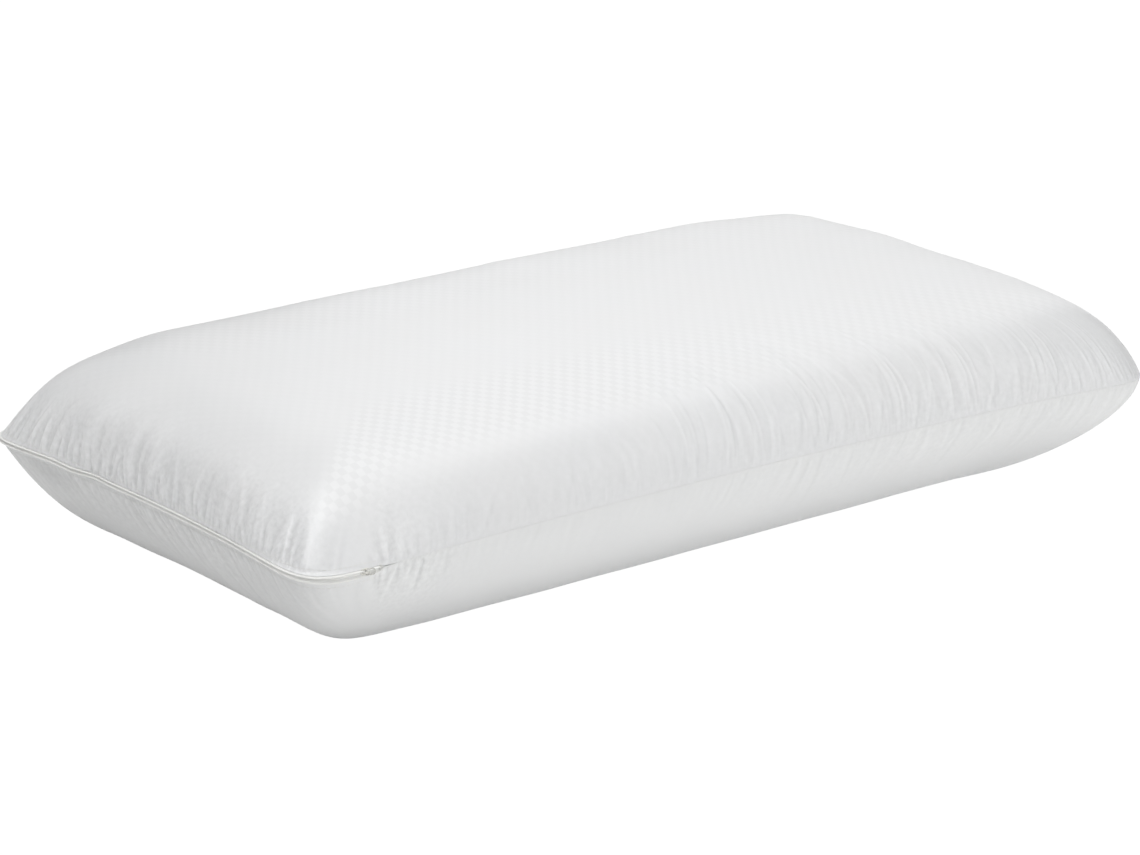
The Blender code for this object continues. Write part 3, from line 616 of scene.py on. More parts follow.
def cover_panel(name, upper, rings, material, slot):
    """One panel of the outer cover: a closed shell from its hem, over the rolled edge, to the middle."""
    lift = np.array([0.0, 0.0, 1.0 if upper else -1.0])
    opening = line.opening(line.at, upper)
    zipped = np.clip((opening - SEAM_HALF_GAP) / ZIP_ROLL, 0.0, 1.0)
    roll = SEAM_ROLL + (ZIP_ROLL - SEAM_ROLL) * zipped
    rows, since_edge, flat, flat_edge = panel_rings(upper, rings, opening, roll)
    normals = grid_normals(rows, upper)

    height = panel_folds(since_edge, flat, upper)
    height *= since_edge / (since_edge + EDGE_REACH)
    height = np.where(height < 0, -INNER_ROOM * np.tanh(-height / INNER_ROOM), height)
    groove = np.exp(-(((since_edge - since_edge[STITCH_RING]) / STITCH_GROOVE_WIDTH) ** 2))
    height -= STITCH_GROOVE * groove * zipped
    outer = rows + normals * height[..., None]
    if not upper:
        outer[..., 2] = np.maximum(outer[..., 2], 0.0)

    # What the cloth's material is told: valley (1, painted shade) or ridge (-1, painted highlight), how
    # slack (which sets painted crumple shade and crumple relief), metres from the seam.
    slack = line.value(PANELS[upper][1], line.at)
    slack = np.minimum(slack, MOST_SLACK)[None] * np.exp(-((since_edge / SLACK_REACH) ** 2))
    valley = blur(height, NARROW_VALLEY) - height
    valley += WIDE_VALLEY_SHARE * (blur(height, WIDE_VALLEY) - height)
    valley = np.tanh(valley / VALLEY_DEPTH)
    valley = np.where(valley < 0, PAINTED_RIDGE_HIGHLIGHT * valley, valley)
    # Painted shade in the hollow under the zip at the far corner.
    if not upper:
        swell(valley, since_edge, HOLLOW[0], 1.0, *HOLLOW[2:])
    look = np.stack([valley, slack, since_edge], axis=-1)

    # The outer face: the hem, the rolled edge, the folded rings and the flat middle.
    rim = line.points + lift * opening[:, None]
    turn_in = rim - line.normals * roll[:, None]
    hem_low = line.points - line.normals * HEM + lift * opening[:, None]
    hem_high = hem_low + lift * COVER_THICK
    edge = [turn_in * (1 - t) ** 2 + rim * 2 * t * (1 - t) + outer[0] * t * t for t in ROLL_SHARES]
    outer_rings = [with_look(ring, flat[0], look[0]) for ring in (hem_low, *edge)]
    for index in range(rings):
        times = sum(index >= share * rings for share in THIN_FROM)
        outer_rings.append(thin(with_look(outer[index], flat[index], look[index]), times))
    for index, scale in enumerate(CENTRE_SCALES):
        ring = line.rings(FLAT_SHARE, upper, scale)[0]
        ring = ring + lift * (np.maximum(height[-1], 0.0) * scale**2)[:, None]
        outer_rings.append(thin(with_look(ring, flat_edge * scale), min(index + 3, MOST_THIN)))
    tip = np.array([0.0, 0.0, SEAM_HEIGHT + UPPER_RISE + CROWN if upper else 0.0])
    verts, faces = stack_rings(outer_rings, with_look(tip))

    # The inner face, which nothing shows, from fewer rings and fewer points.
    inner = outer - normals * COVER_THICK
    out = line.normals * HEM * HEM_SHARE
    inner_rings = [thin(hem_high + out * times, times) for times in range(3)]
    inner_rings += [thin(ring, 3) for ring in inner[INNER_START::INNER_STEP]]
    inner_rings.append(thin(line.rings(FLAT_SHARE, upper, INNER_SCALE)[0] - lift * COVER_THICK, 4))
    inner_verts, inner_faces = stack_rings([with_look(ring) for ring in inner_rings],
                                           with_look(tip - lift * COVER_THICK))
    start = len(verts)
    faces += [tuple(start + i for i in reversed(f)) for f in inner_faces]
    faces += [(i, start + i, start + (i + 1) % STATIONS, (i + 1) % STATIONS) for i in range(STATIONS)]
    if not upper:
        faces = [tuple(reversed(f)) for f in faces]
    item = mesh_object(name, np.vstack([verts, inner_verts]), faces, material, "pillow", slot)
    return item, outer[STITCH_RING], normals[STITCH_RING]


# ---- materials

WHITE = (1.0, 1.0, 1.0, 1.0)
NOISE_RANGE = (0.3, 0.7)  # where most of a noise's values lie


class Graph:
    """The nodes of a material or the world.  Its methods add nodes and return their result sockets."""

    def __init__(self, owner):
        owner.use_nodes = True
        self.nodes = owner.node_tree.nodes
        self.links = owner.node_tree.links

    def put(self, socket, value):
        """Sets a socket to a number or colour, or links it to another node's result."""
        if isinstance(value, bpy.types.NodeSocket):
            self.links.new(value, socket)
        else:
            socket.default_value = value

    def node(self, kind, inputs, **settings):
        node = self.nodes.new("ShaderNode" + kind)
        for name, value in settings.items():
            setattr(node, name, value)
        for socket, value in inputs.items():
            self.put(node.inputs[socket], value)
        return node

    def math(self, operation, first, *second):
        return self.node("Math", dict(enumerate((first, *second))), operation=operation).outputs[0]

    def add(self, first, second):
        return self.math("ADD", first, second)

    def times(self, first, second):
        return self.math("MULTIPLY", first, second)

    def wave(self, value, length):
        return self.math("SINE", self.times(value, 2 * math.pi / length))

    def ramp(self, value, low, high, to_low, to_high, kind="SMOOTHSTEP"):
        inputs = {"Value": value, "From Min": low, "From Max": high, "To Min": to_low, "To Max": to_high}
        return self.node("MapRange", inputs, interpolation_type=kind).outputs["Result"]

    def noise(self, place, scale, detail=2.0):
        return self.node("TexNoise", {"Vector": place, "Scale": scale, "Detail": detail}).outputs["Fac"]

    def split(self, vector):
        return self.node("SeparateXYZ", {0: vector}).outputs[:]

    def attribute(self, name):
        return self.node("Attribute", {}, attribute_name=name).outputs["Vector"]

    def object_place(self):
        return self.node("TexCoord", {}).outputs["Object"]

    def camera_ray(self):
        return self.node("LightPath", {}).outputs["Is Camera Ray"]

    def output(self, factor, first, second, name):
        """Ends the graph with a mix of two shaders."""
        mix = self.node("MixShader", {0: factor, 1: first.outputs[0], 2: second.outputs[0]})
        self.put(self.nodes[name].inputs["Surface"], mix.outputs[0])


class Look(Graph):
    """A material."""

    def __init__(self, name, colour, roughness):
        self.material = bpy.data.materials.new(name)
        super().__init__(self.material)
        self.shader = self.nodes["Principled BSDF"]
        self.set("Base Color", (*colour, 1.0))
        self.set("Roughness", roughness)

    def set(self, socket, value):
        self.put(self.shader.inputs[socket], value)

    def tint(self, grain, low, high, grain_range=NOISE_RANGE):
        """A slow change between two colours."""
        factor = self.ramp(grain, *grain_range, 0.0, 1.0)
        inputs = {"Factor": factor, 6: (*low, 1.0), 7: (*high, 1.0)}
        return self.node("Mix", inputs, data_type="RGBA").outputs[2]

    def bump(self, height, distance):
        node = self.node("Bump", {"Height": height, "Distance": distance, "Strength": 1.0})
        self.set("Normal", node.outputs["Normal"])

    def painted_fold_shade(self, place, valley, slack):
        """Painted shade and light in the colour: fold valleys darker, ridges lighter, and slack cloth
        painted with light and dark crumples.
        """
        crumple = self.math("SUBTRACT", self.noise(place, CRUMPLE_SCALE), 0.5)
        crumple = self.times(self.times(crumple, slack), CRUMPLE_PAINTED_SHADE)
        return self.add(self.add(self.times(valley, -FOLD_PAINTED_SHADE), crumple), 1.0)

    def colour_times(self, colour, factor):
        node = self.node("VectorMath", {0: colour, "Scale": factor}, operation="SCALE")
        self.set("Base Color", node.outputs[0])


# Painted shade: how much darker the colour gets in fold valleys, and how strongly crumples on slack cloth
# are painted light and dark
FOLD_PAINTED_SHADE = 0.115
CRUMPLE_PAINTED_SHADE = 0.34
CRUMPLE_SCALE = 300.0
CRUMPLE_RELIEF = 5.0  # the reliefs are shares of RELIEF, in metres
CHECK_RELIEF = 0.12
WEAVE_RELIEF = 0.08
RELIEF = 0.00012
WEAVE_SCALE = 2600.0
CLOUD_SCALE = 14.0
CHECK_WIDE = 0.0050  # size of one woven check along the pillow, and across it
CHECK_DEEP = 0.0066
CHECK_EDGE = 0.18
# The check's own two-tone pattern, and near the shoulder a stronger contrast as a painted sheen of the
# satin
CHECK_TONE = 0.009
CHECK_PAINTED_SHEEN = 0.046
# Where the painted sheen of the check shows:
SHOULDER_START = (0.054, 0.076)  # metres from the seam where the check starts to show
SHOULDER_END = (0.056, 0.094)  # metres from the pillow's long axis where it is lost again
CORNER_REACH = 0.030  # it comes this much closer to the seam at the left corners
CORNER_PLACE = (-0.315, -0.255)
LEFT_TO_RIGHT = (-0.10, 0.10)  # it is clearer to the left of this stretch
RIGHT_SHARE = 0.42
BACK_SHARE = 0.5
MITRE = (-0.170, -0.154)  # across minus along: it shows on the long sides of the corner diagonals


def check_sheen_band(look, u, v, depth):
    """Where the check's colour contrast is raised as a painted sheen (1), from the cloth's flat coordinates
    and metres from the seam.
    """
    corner = look.ramp(u, *CORNER_PLACE, CORNER_REACH, 0.0)
    rise = look.ramp(look.add(depth, corner), *SHOULDER_START, 0.0, 1.0)
    front = look.ramp(v, -SHOULDER_END[1], -SHOULDER_END[0], 1.0, 0.0)
    back = look.ramp(v, *SHOULDER_END, 0.0, BACK_SHARE)
    across = look.math("SUBTRACT", look.math("ABSOLUTE", v), look.math("ABSOLUTE", u))
    side = look.times(look.add(front, back), look.ramp(across, *MITRE, 0.0, 1.0))
    return look.times(look.times(rise, side), look.ramp(u, *LEFT_TO_RIGHT, 1.0, RIGHT_SHARE))


def satin_material():
    """Satin cloth woven in a small check: squares of warp satin and of weft satin take turns."""
    look = Look("cover_satin", (0.86, 0.865, 0.87), 0.40)
    place = look.attribute("cloth")
    u, v, _ = look.split(place)
    valley, slack, depth = look.split(look.attribute("shade"))
    both = look.times(look.wave(u, 2 * CHECK_WIDE), look.wave(v, 2 * CHECK_DEEP))
    check = look.ramp(both, -CHECK_EDGE, CHECK_EDGE, -0.5, 0.5)
    band = check_sheen_band(look, u, v, depth)
    pattern_and_sheen_contrast = look.ramp(band, 0.0, 1.0, CHECK_TONE, CHECK_PAINTED_SHEEN, "LINEAR")
    # Painted shade in the fold valleys and crumples, painted highlight on the ridges, and the check pattern
    # with its painted sheen near the shoulder
    tone = look.add(look.painted_fold_shade(place, valley, slack), look.times(check, pattern_and_sheen_contrast))
    cloud = look.noise(place, CLOUD_SCALE)
    look.colour_times(look.tint(cloud, (0.858, 0.864, 0.870), (0.866, 0.869, 0.872)), tone)
    look.set("Roughness", look.add(look.ramp(check, -0.5, 0.5, 0.42, 0.36, "LINEAR"),
                                   look.ramp(cloud, *NOISE_RANGE, -0.02, 0.02)))
    weave = look.times(look.noise(place, WEAVE_SCALE, 1.0), WEAVE_RELIEF)
    crumple = look.times(look.times(look.noise(place, CRUMPLE_SCALE), slack), CRUMPLE_RELIEF)
    look.bump(look.add(look.add(look.times(check, CHECK_RELIEF), weave), crumple), RELIEF)
    look.set("Sheen Weight", 0.20)
    look.set("Sheen Roughness", 0.4)
    return look.material


def plain_material():
    """Plain smooth cloth with a fine rib."""
    look = Look("cover_plain", (0.85, 0.855, 0.85), 0.62)
    place = look.attribute("cloth")
    u, v, _ = look.split(place)
    valley, slack, _ = look.split(look.attribute("shade"))
    cloud = look.noise(place, 18.0)
    # Painted shade in the fold valleys and crumples, painted highlight on the ridges
    tone = look.painted_fold_shade(place, valley, slack)
    look.colour_times(look.tint(cloud, (0.844, 0.850, 0.848), (0.856, 0.861, 0.858)), tone)
    threads = look.add(look.wave(u, 0.0008), look.wave(v, 0.0008))
    weave = look.noise(place, 1800.0, 1.0)
    look.bump(look.add(look.times(threads, 0.12), look.times(weave, 0.3)), 0.00005)
    look.set("Roughness", look.ramp(cloud, 0.2, 0.8, 0.56, 0.66))
    look.set("Sheen Weight", 0.3)
    return look.material


def knit_material(name, low, high, wale, depth, roughness):
    """Cloth seen in object coordinates: rows of loops, with a slow change of tone."""
    look = Look(name, high, roughness)
    place = look.object_place()
    x, y, z = look.split(place)
    loops = look.times(look.wave(x, wale), look.wave(look.add(y, z), wale))
    look.set("Base Color", look.tint(look.noise(place, 30.0), low, high))
    look.set("Roughness", look.ramp(loops, -1.0, 1.0, roughness - 0.06, roughness + 0.06))
    look.bump(loops, depth)
    look.set("Sheen Weight", 0.2)
    return look.material


def foam_material():
    """Moulded foam: a fine open-celled skin with pores of several sizes."""
    look = Look("foam", (0.86, 0.83, 0.74), 0.9)
    place = look.object_place()
    cells = look.node("TexVoronoi", {"Scale": 900.0, "Vector": place}).outputs["Distance"]
    pores = look.noise(place, 260.0, 3.0)
    look.set("Base Color", look.tint(pores, (0.83, 0.80, 0.70), (0.88, 0.85, 0.77), (0.35, 0.65)))
    look.bump(look.add(cells, pores), 0.0004)
    return look.material


def grained_material(name, colour, scale, rough, low, high, setting):
    """A smooth material with a fine grain in its gloss and colour."""
    look = Look(name, colour, rough[0])
    grain = look.noise(look.object_place(), scale)
    look.set("Roughness", look.ramp(grain, *NOISE_RANGE, *rough))
    look.set("Base Color", look.tint(grain, low, high))
    look.set(*setting)
    return look.material


def enamel_material():
    """Sprayed enamel on the slider: slight orange peel, edges a touch darker."""
    look = Look("slider_enamel", (0.82, 0.81, 0.76), 0.35)
    peel = look.noise(look.object_place(), 1500.0)
    edge = look.node("NewGeometry", {}).outputs["Pointiness"]
    look.set("Base Color", look.tint(edge, (0.82, 0.81, 0.76), (0.76, 0.75, 0.71), (0.52, 0.62)))
    look.set("Roughness", look.ramp(peel, *NOISE_RANGE, 0.28, 0.40))
    look.bump(peel, 0.00003)
    look.set("Coat Weight", 0.3)
    return look.material


SATIN = satin_material()
PLAIN = plain_material()
TRICOT = knit_material("inner_cover_tricot", (0.84, 0.84, 0.83), (0.88, 0.88, 0.87), 0.0016, 0.0001, 0.8)
FOAM = foam_material()
THREAD = knit_material("thread", (0.80, 0.80, 0.77), (0.87, 0.87, 0.84), 0.0006, 0.00005, 0.5)
TAPE = knit_material("zip_tape", (0.90, 0.90, 0.878), (0.94, 0.94, 0.922), 0.0009, 0.00003, 0.55)
COIL = grained_material("zip_coil", (0.86, 0.85, 0.79), 700.0, (0.28, 0.42), (0.83, 0.82, 0.755),
                        (0.87, 0.86, 0.80), ("Coat Weight", 0.2))
ENAMEL = enamel_material()
WIRE = grained_material("pull_wire", (0.62, 0.61, 0.58), 2200.0, (0.22, 0.38), (0.56, 0.55, 0.53),
                        (0.66, 0.65, 0.62), ("Metallic", 1.0))

CAD_LOOKS = (  # a node takes the first material whose word is in its name; the covers are replaced
    ("foam", FOAM), ("thread", THREAD), ("stitches", THREAD), ("tack", THREAD), ("inner_cover", TRICOT),
    ("tape", TAPE), ("coil", COIL), ("stop", COIL), ("slider", ENAMEL), ("pull", WIRE),
)
for cad_name, cad_item in frame["nodes"].items():
    for material in [look for word, look in CAD_LOOKS if word in cad_name][:1]:
        for place in cad_item.material_slots:
            place.link = "OBJECT"
            place.material = material

# ---- outer cover

cover_top, *top_stitches = cover_panel("cover_top_panel", True, UPPER_RINGS, SATIN, "cover_satin")
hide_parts("cover_top")
cover_bottom, *bottom_stitches = cover_panel("cover_bottom_panel", False, LOWER_RINGS, PLAIN, "cover_plain")
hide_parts("cover_bottom")

# ---- zip and stitches

TAPE_PAST_END = 0.0040  # the tapes run on under the bar tacks
TAPE_STEP = 0.0016
# The tapes' outlines: inward, outward lip where fully open, share of the opening, and above that
TAPE_FACE = ((0.0058, 0, 1, -0.00008), (0.0007, 0, 1, -0.00008))
TAPE_BACK = ((0.0014, 0, 1, -0.00048), (0.0058, 0, 1, -0.00048))
UPPER_TAPE = (
    (0.0001, 0, 1, -0.00013), (0, -0.0006, 0.80, 0), (0, -0.0011, 0.50, 0), (0, -0.0009, 0.15, 0),
    (0.00030, 0, 0, 0.00006), (0.00075, 0, 0, 0.00014), (0.00080, 0, 0.45, 0),
)
LOWER_TAPE = (
    (0.00015, 0, 1, -0.00013), (0, -0.0007, 0.84, 0), (0, -0.0011, 0.68, 0), (0, -0.0008, 0.54, 0),
    (0, -0.0003, 0.38, 0), (-0.00005, 0, 0, 0.00030), (0.00040, 0, 0, 0.00012),
    (0.00090, 0, 0, 0.00016), (0.00095, 0, 0.5, 0),
)
COIL_PITCH = 0.0016
COIL_WIRE = 0.00022
COIL_SIDES = 5
COIL_STEPS = 9
COIL_END_GAP = 0.0045
COIL_DEPTH = 0.0028  # the middle of the turns, in from the seam line
COIL_HALF_WIDTH = 0.00052
COIL_HEIGHT = 0.00118
COIL_HALF_HEIGHT = 0.00072
STITCH_PITCH = 0.0032
STITCH_LENGTH = 0.0025
STITCH_DIP = (-0.35, 0.35, 0.75, 0.85, 0.75, 0.35, -0.35)  # out of the cloth, in thread radii
ZIP_STITCH_SHIFT = 0.001
THREAD_RADIUS = 0.00019
TOPSTITCH_RADIUS = 0.00012
THREAD_SIDES = 6
TAPER = 0.35  # of the radius, at the ends of a thread
SEAM_STITCHES = 6
SEAM_STITCH_PITCH = 0.0022
SEAM_STITCH_GAP = 0.003  # from the zip's ends
SEAM_STITCH_HALF = 0.0007
SEAM_STITCH_OUT = (-0.0002, -0.0003)  # out of the seam, and what its ends add
TACKS = 7
TACK_START = 0.0005
TACK_PITCH = 0.00028
TACK_LEAN = 0.00018
TACK_OVERLAP = 0.0004
TACK_OUT = (0.0008, -0.0005)


def band_faces(rows, around):
    """Faces between rows of points that close round, each row with `around` points."""
    faces = []
    for i in range(rows - 1):
        for k in range(around):
            m = (k + 1) % around
            faces.append((i * around + k, i * around + m, (i + 1) * around + m, (i + 1) * around + k))
    return faces


def end_caps(rows, around):
    return [tuple(reversed(range(around))), tuple((rows - 1) * around + k for k in range(around))]


def tube(points, radius, sides, closed=False):
    """Points and faces of a tube; an open one has tapered, closed ends."""
    points = np.asarray(points, float)
    ahead = np.roll(points, -1, axis=0) - np.roll(points, 1, axis=0)
    scale = np.full(len(points), float(radius))
    if not closed:
        ahead[0] = points[1] - points[0]
        ahead[-1] = points[-1] - points[-2]
        scale[[0, -1]] *= TAPER
    ahead = unit(ahead)
    guide = np.array([0.0, 0.0, 1.0]) + ahead[:, [1, 2, 0]] * 0.01
    side = unit(np.cross(ahead, guide))
    other = np.cross(side, ahead)
    angle = 2 * math.pi * np.arange(sides) / sides
    ring = np.cos(angle)[None, :, None] * side[:, None] + np.sin(angle)[None, :, None] * other[:, None]
    verts = (points[:, None] + ring * scale[:, None, None]).reshape(-1, 3)
    if closed:
        count = len(verts)
        return verts, [tuple(i % count for i in f) for f in band_faces(len(points) + 1, sides)]
    return verts, band_faces(len(points), sides) + end_caps(len(points), sides)


def join_shapes(shapes):
    verts = []
    faces = []
    start = 0
    for shape_verts, shape_faces in shapes:
        verts.append(np.asarray(shape_verts, float))
        faces += [tuple(start + i for i in f) for f in shape_faces]
        start += len(shape_verts)
    return np.vstack(verts), faces


def tape_section(gap, lip_rows, full_gap):
    """Inward and height, in metres, of a tape that folds into a lip, for one opening of the cover."""
    out = min(gap / full_gap, 1.0)
    rows = (*TAPE_FACE, *lip_rows, *TAPE_BACK)
    section = np.array([(inward + lip * out, share * gap + above) for inward, lip, share, above in rows])
    for _ in range(2):  # cuts the corners, so that it looks folded
        after = np.roll(section, -1, axis=0)
        cut = np.stack([section * 0.75 + after * 0.25, section * 0.25 + after * 0.75], axis=1)
        section = cut.reshape(-1, 2)
    return section


def zip_tapes():
    """The upper tape, and the lower one with a smaller lip and a groove beside it."""
    start = MARK["zip_back"] - TAPE_PAST_END
    end = MARK["zip_front"] + TAPE_PAST_END
    at = np.linspace(start, end, int(round((end - start) / TAPE_STEP)) + 1)
    points, normals = line.follow(at)
    for side, outline, full_gap in (
        ("upper", UPPER_TAPE, UPPER_OPENING),
        ("lower", LOWER_TAPE, LOWER_OPENING),
    ):
        gaps = line.opening(at, side == "upper")
        sections = np.array([tape_section(gap, outline, full_gap) for gap in gaps])
        if side == "upper":
            sections = sections[:, ::-1]
        else:
            sections[..., 1] *= -1
        rows = points[:, None] - normals[:, None] * sections[..., 0, None]
        rows[..., 2] += sections[..., 1]
        count, around = rows.shape[:2]
        faces = band_faces(count, around) + end_caps(count, around)
        item = mesh_object("zip_tape_woven_" + side, rows.reshape(-1, 3), faces, TAPE, "pillow", "zip_tape")
        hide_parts("zip_tape_" + side)


def zip_coils():
    """The two rows of teeth: each is one wound nylon filament."""
    start = MARK["zip_back"] + COIL_END_GAP
    turns = int((MARK["zip_front"] - COIL_END_GAP - start) / COIL_PITCH)
    t = np.arange(turns * COIL_STEPS + 1) / COIL_STEPS
    for side, sign, shift in (("upper", 1, 0.5), ("lower", -1, 0.0)):
        wound, normals = line.follow(start + (t + shift) * COIL_PITCH)
        angle = 2 * math.pi * t * sign
        wound = wound - normals * (COIL_DEPTH + COIL_HALF_WIDTH * np.cos(angle))[:, None]
        wound[:, 2] += sign * COIL_HEIGHT + COIL_HALF_HEIGHT * np.sin(angle)
        verts, faces = tube(wound, COIL_WIRE, COIL_SIDES)
        item = mesh_object("zip_teeth_" + side, verts, faces, COIL, "pillow", "zip_coil")
        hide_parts("zip_coil_" + side)


def zip_stitches(side, ring, normals):
    """A line of separate stitches on the cover, beside the zip: each dips into the cloth at both ends."""
    start = MARK["zip_back"] + ZIP_STITCH_SHIFT
    inside = (line.at > start) & (line.at < MARK["zip_front"] + ZIP_STITCH_SHIFT)
    places = np.hstack([ring[inside], normals[inside]])
    step = np.linalg.norm(np.diff(places[:, :3], axis=0), axis=1)
    arc = np.concatenate([[0.0], np.cumsum(step)])
    dip = np.array(STITCH_DIP)[:, None] * TOPSTITCH_RADIUS
    shapes = []
    for i in range(int(arc[-1] / STITCH_PITCH)):
        at = (i + 0.5) * STITCH_PITCH + np.linspace(-0.5, 0.5, len(dip)) * STITCH_LENGTH
        spot = np.stack([np.interp(at, arc, column) for column in places.T], axis=1)
        shapes.append(tube(spot[:, :3] + unit(spot[:, 3:]) * dip, TOPSTITCH_RADIUS, THREAD_SIDES))
    verts, faces = join_shapes(shapes)
    item = mesh_object("zip_topstitch_" + side, verts, faces, THREAD, "pillow", "thread")
    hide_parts("zip_stitches_" + side)


def stitch_bar(at, out_by, curve, half, lean, steps):
    """A stitch across the seam.  It stands out by out_by, and by curve more at its two ends."""
    spot, out = line.follow(np.array([at]))
    across = np.linspace(-1.0, 1.0, steps)[:, None]
    bar = spot + out * (out_by + curve * across**2)
    bar += across * np.array([-out[0, 1] * lean, out[0, 0] * lean, half])
    return tube(bar, THREAD_RADIUS, THREAD_SIDES)


def seam_stitches():
    """The seam gapes a little beside each end of the zip, and its stitches show there as short bars."""
    bars = []
    back = MARK["zip_back"] - SEAM_STITCH_GAP - SEAM_STITCHES * SEAM_STITCH_PITCH
    for begin in (MARK["zip_front"] + SEAM_STITCH_GAP, back):
        for i in range(SEAM_STITCHES):
            at = begin + (i + 0.5) * SEAM_STITCH_PITCH
            bars.append(stitch_bar(at, *SEAM_STITCH_OUT, SEAM_STITCH_HALF, 0.0, 5))
    mesh_object("seam_stitches", *join_shapes(bars), THREAD, "pillow", "thread")


def end_tacks():
    """Bar tacks: a few close stitches across each end of the zip."""
    for name, sign in (("front", 1), ("back", -1)):
        bars = []
        for i in range(TACKS):
            at = MARK["zip_" + name] + sign * (TACK_START + i * TACK_PITCH)
            half = (line.opening(at, True) + line.opening(at, False)) / 2 + TACK_OVERLAP
            bars.append(stitch_bar(at, *TACK_OUT, half, TACK_LEAN * (1 if i % 2 else -1), 9))
        item = mesh_object("zip_bartack_" + name, *join_shapes(bars), THREAD, "pillow", "thread")
        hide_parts("zip_end_tack_" + name)


# ---- slider and pull

JOINTS = {joint["name"]: joint for joint in frame["joints"]}
SLIDER_LENGTH = 0.0068
SLIDER_HALF_HEIGHT = 0.0024
SLIDER_FACE = 0.0006  # its outer face, out from the seam line
PIN_LIFT = 0.00075  # from that face to the pull's pin
PLATES = (  # length, half height, corner radius, innermost, outermost and edge radius
    (SLIDER_LENGTH, SLIDER_HALF_HEIGHT, 0.0022, SLIDER_FACE - 0.0010, SLIDER_FACE, 0.00045),
    (SLIDER_LENGTH - 0.0022, SLIDER_HALF_HEIGHT - 0.0010, 0.0016, SLIDER_FACE - 0.0004,
     SLIDER_FACE + 0.00025, 0.0003),
    (SLIDER_LENGTH - 0.001, 0.0023, 0.0014, -0.0051, -0.0043, 0.0003),
)
POST = (0.0025, 0.0002, 0.00018, -0.0045, SLIDER_FACE - 0.0008, 0.00002)  # joins the outer and inner plates
POST_ALONG = 0.00175
BRIDGE_SPAN = 0.0030
BRIDGE_RISE = 0.0016
BRIDGE_WIRE = 0.0004
BRIDGE_BREADTH = 1.9  # its width, for each unit of its thickness
BRIDGE_POWER = 0.6  # below 1, the arch rises steeply from its feet
PULL_LENGTH = 0.0058
PULL_HALF_HEIGHT = 0.0019
PULL_CORNER = 0.0013
PULL_WIRE = 0.00035
PULL_TILT = 0.09  # the ring leans out a little, clear of the tapes
EDGE_LEVELS = 5
CORNER_STEPS = 6
POST_STEPS = 2
RING_STEPS = 8
OUT_LAST = [0, 2, 1]  # swaps (along, out, up) and (along, up, out)

travel = Vector(JOINTS["slider_slide"]["axis"]).normalized()
outward = travel.cross(Vector((0.0, 0.0, 1.0))).normalized()
pin = Vector(JOINTS["pull_hinge"]["pos_m"])
SLIDER_MIDDLE = np.array(pin - outward * (SLIDER_FACE + PIN_LIFT))
PIN = np.array(pin)
SLIDER_AXES = np.array([travel, outward, outward.cross(travel).normalized()])  # along, out and up


def corner_turns(steps):
    """Round a rectangle's corners: which corner, and the direction out of it at each step."""
    for cx, cz, start in ((1, 1, 0), (-1, 1, 1), (-1, -1, 2), (1, -1, 3)):
        for i in range(steps + 1):
            angle = (start + i / steps) * math.pi / 2
            yield cx, cz, math.cos(angle), math.sin(angle)


def slab(length, half_height, corner, low, high, round_by, steps=CORNER_STEPS):
    """A plate with rounded corners and softly rounded edges, between two distances out."""
    levels = []
    turns = np.linspace(0.0, math.pi / 2, EDGE_LEVELS)
    for level, sign, angles in ((low, round_by, turns), (high, -round_by, turns[::-1])):
        for turn in angles:
            levels.append((level + sign * (1 - math.cos(turn)), round_by * (1 - math.sin(turn))))
    verts = []
    for out, inset in levels:
        for cx, cz, c, n in corner_turns(steps):
            x = cx * (length / 2 - corner) + (corner - inset) * c
            z = cz * (half_height - corner) + (corner - inset) * n
            verts.append((x, out, z))
    count = 4 * (steps + 1)
    return np.array(verts), band_faces(len(levels), count) + end_caps(len(levels), count)


def reversed_faces(faces):
    return [tuple(reversed(f)) for f in faces]


def zip_slider():
    post, post_faces = slab(*POST, steps=POST_STEPS)
    post[:, 0] += POST_ALONG
    turn = np.linspace(0.0, math.pi, 17)
    arch = np.zeros((len(turn), 3))  # along, up, out
    arch[:, 0] = -np.cos(turn) * BRIDGE_SPAN / 2
    arch[:, 2] = SLIDER_FACE - 0.0001 + BRIDGE_RISE * np.sin(turn) ** BRIDGE_POWER
    bridge, bridge_faces = tube(arch, BRIDGE_WIRE, 10)
    bridge = bridge[:, OUT_LAST] * (1.0, 1.0, BRIDGE_BREADTH)
    shapes = [slab(*plate) for plate in PLATES]
    shapes += [(post, post_faces), (bridge, reversed_faces(bridge_faces))]
    verts, faces = join_shapes(shapes)
    verts = verts @ SLIDER_AXES + SLIDER_MIDDLE
    item = mesh_object("zip_slider_body", verts, faces, ENAMEL, "slider", "slider_enamel")
    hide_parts("zip_slider")


def zip_pull():
    """A closed ring of round wire; its near side is the pin under the slider's bridge."""
    path = []
    for cx, cz, c, n in corner_turns(RING_STEPS):
        x = PULL_LENGTH / 2 + cx * (PULL_LENGTH / 2 - PULL_CORNER) + PULL_CORNER * c
        z = cz * (PULL_HALF_HEIGHT - PULL_CORNER) + PULL_CORNER * n
        path.append((x, z, PULL_TILT * x))
    verts, faces = tube(path, PULL_WIRE, 12, closed=True)
    verts = verts[:, OUT_LAST] @ SLIDER_AXES + PIN
    item = mesh_object("zip_pull_ring", verts, reversed_faces(faces), WIRE, "pull", "pull_wire")
    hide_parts("zip_pull")


zip_tapes()
zip_coils()
zip_stitches("upper", *top_stitches)
zip_stitches("lower", *bottom_stitches)
seam_stitches()
end_tacks()
zip_slider()
zip_pull()

# ---- stage, light and camera

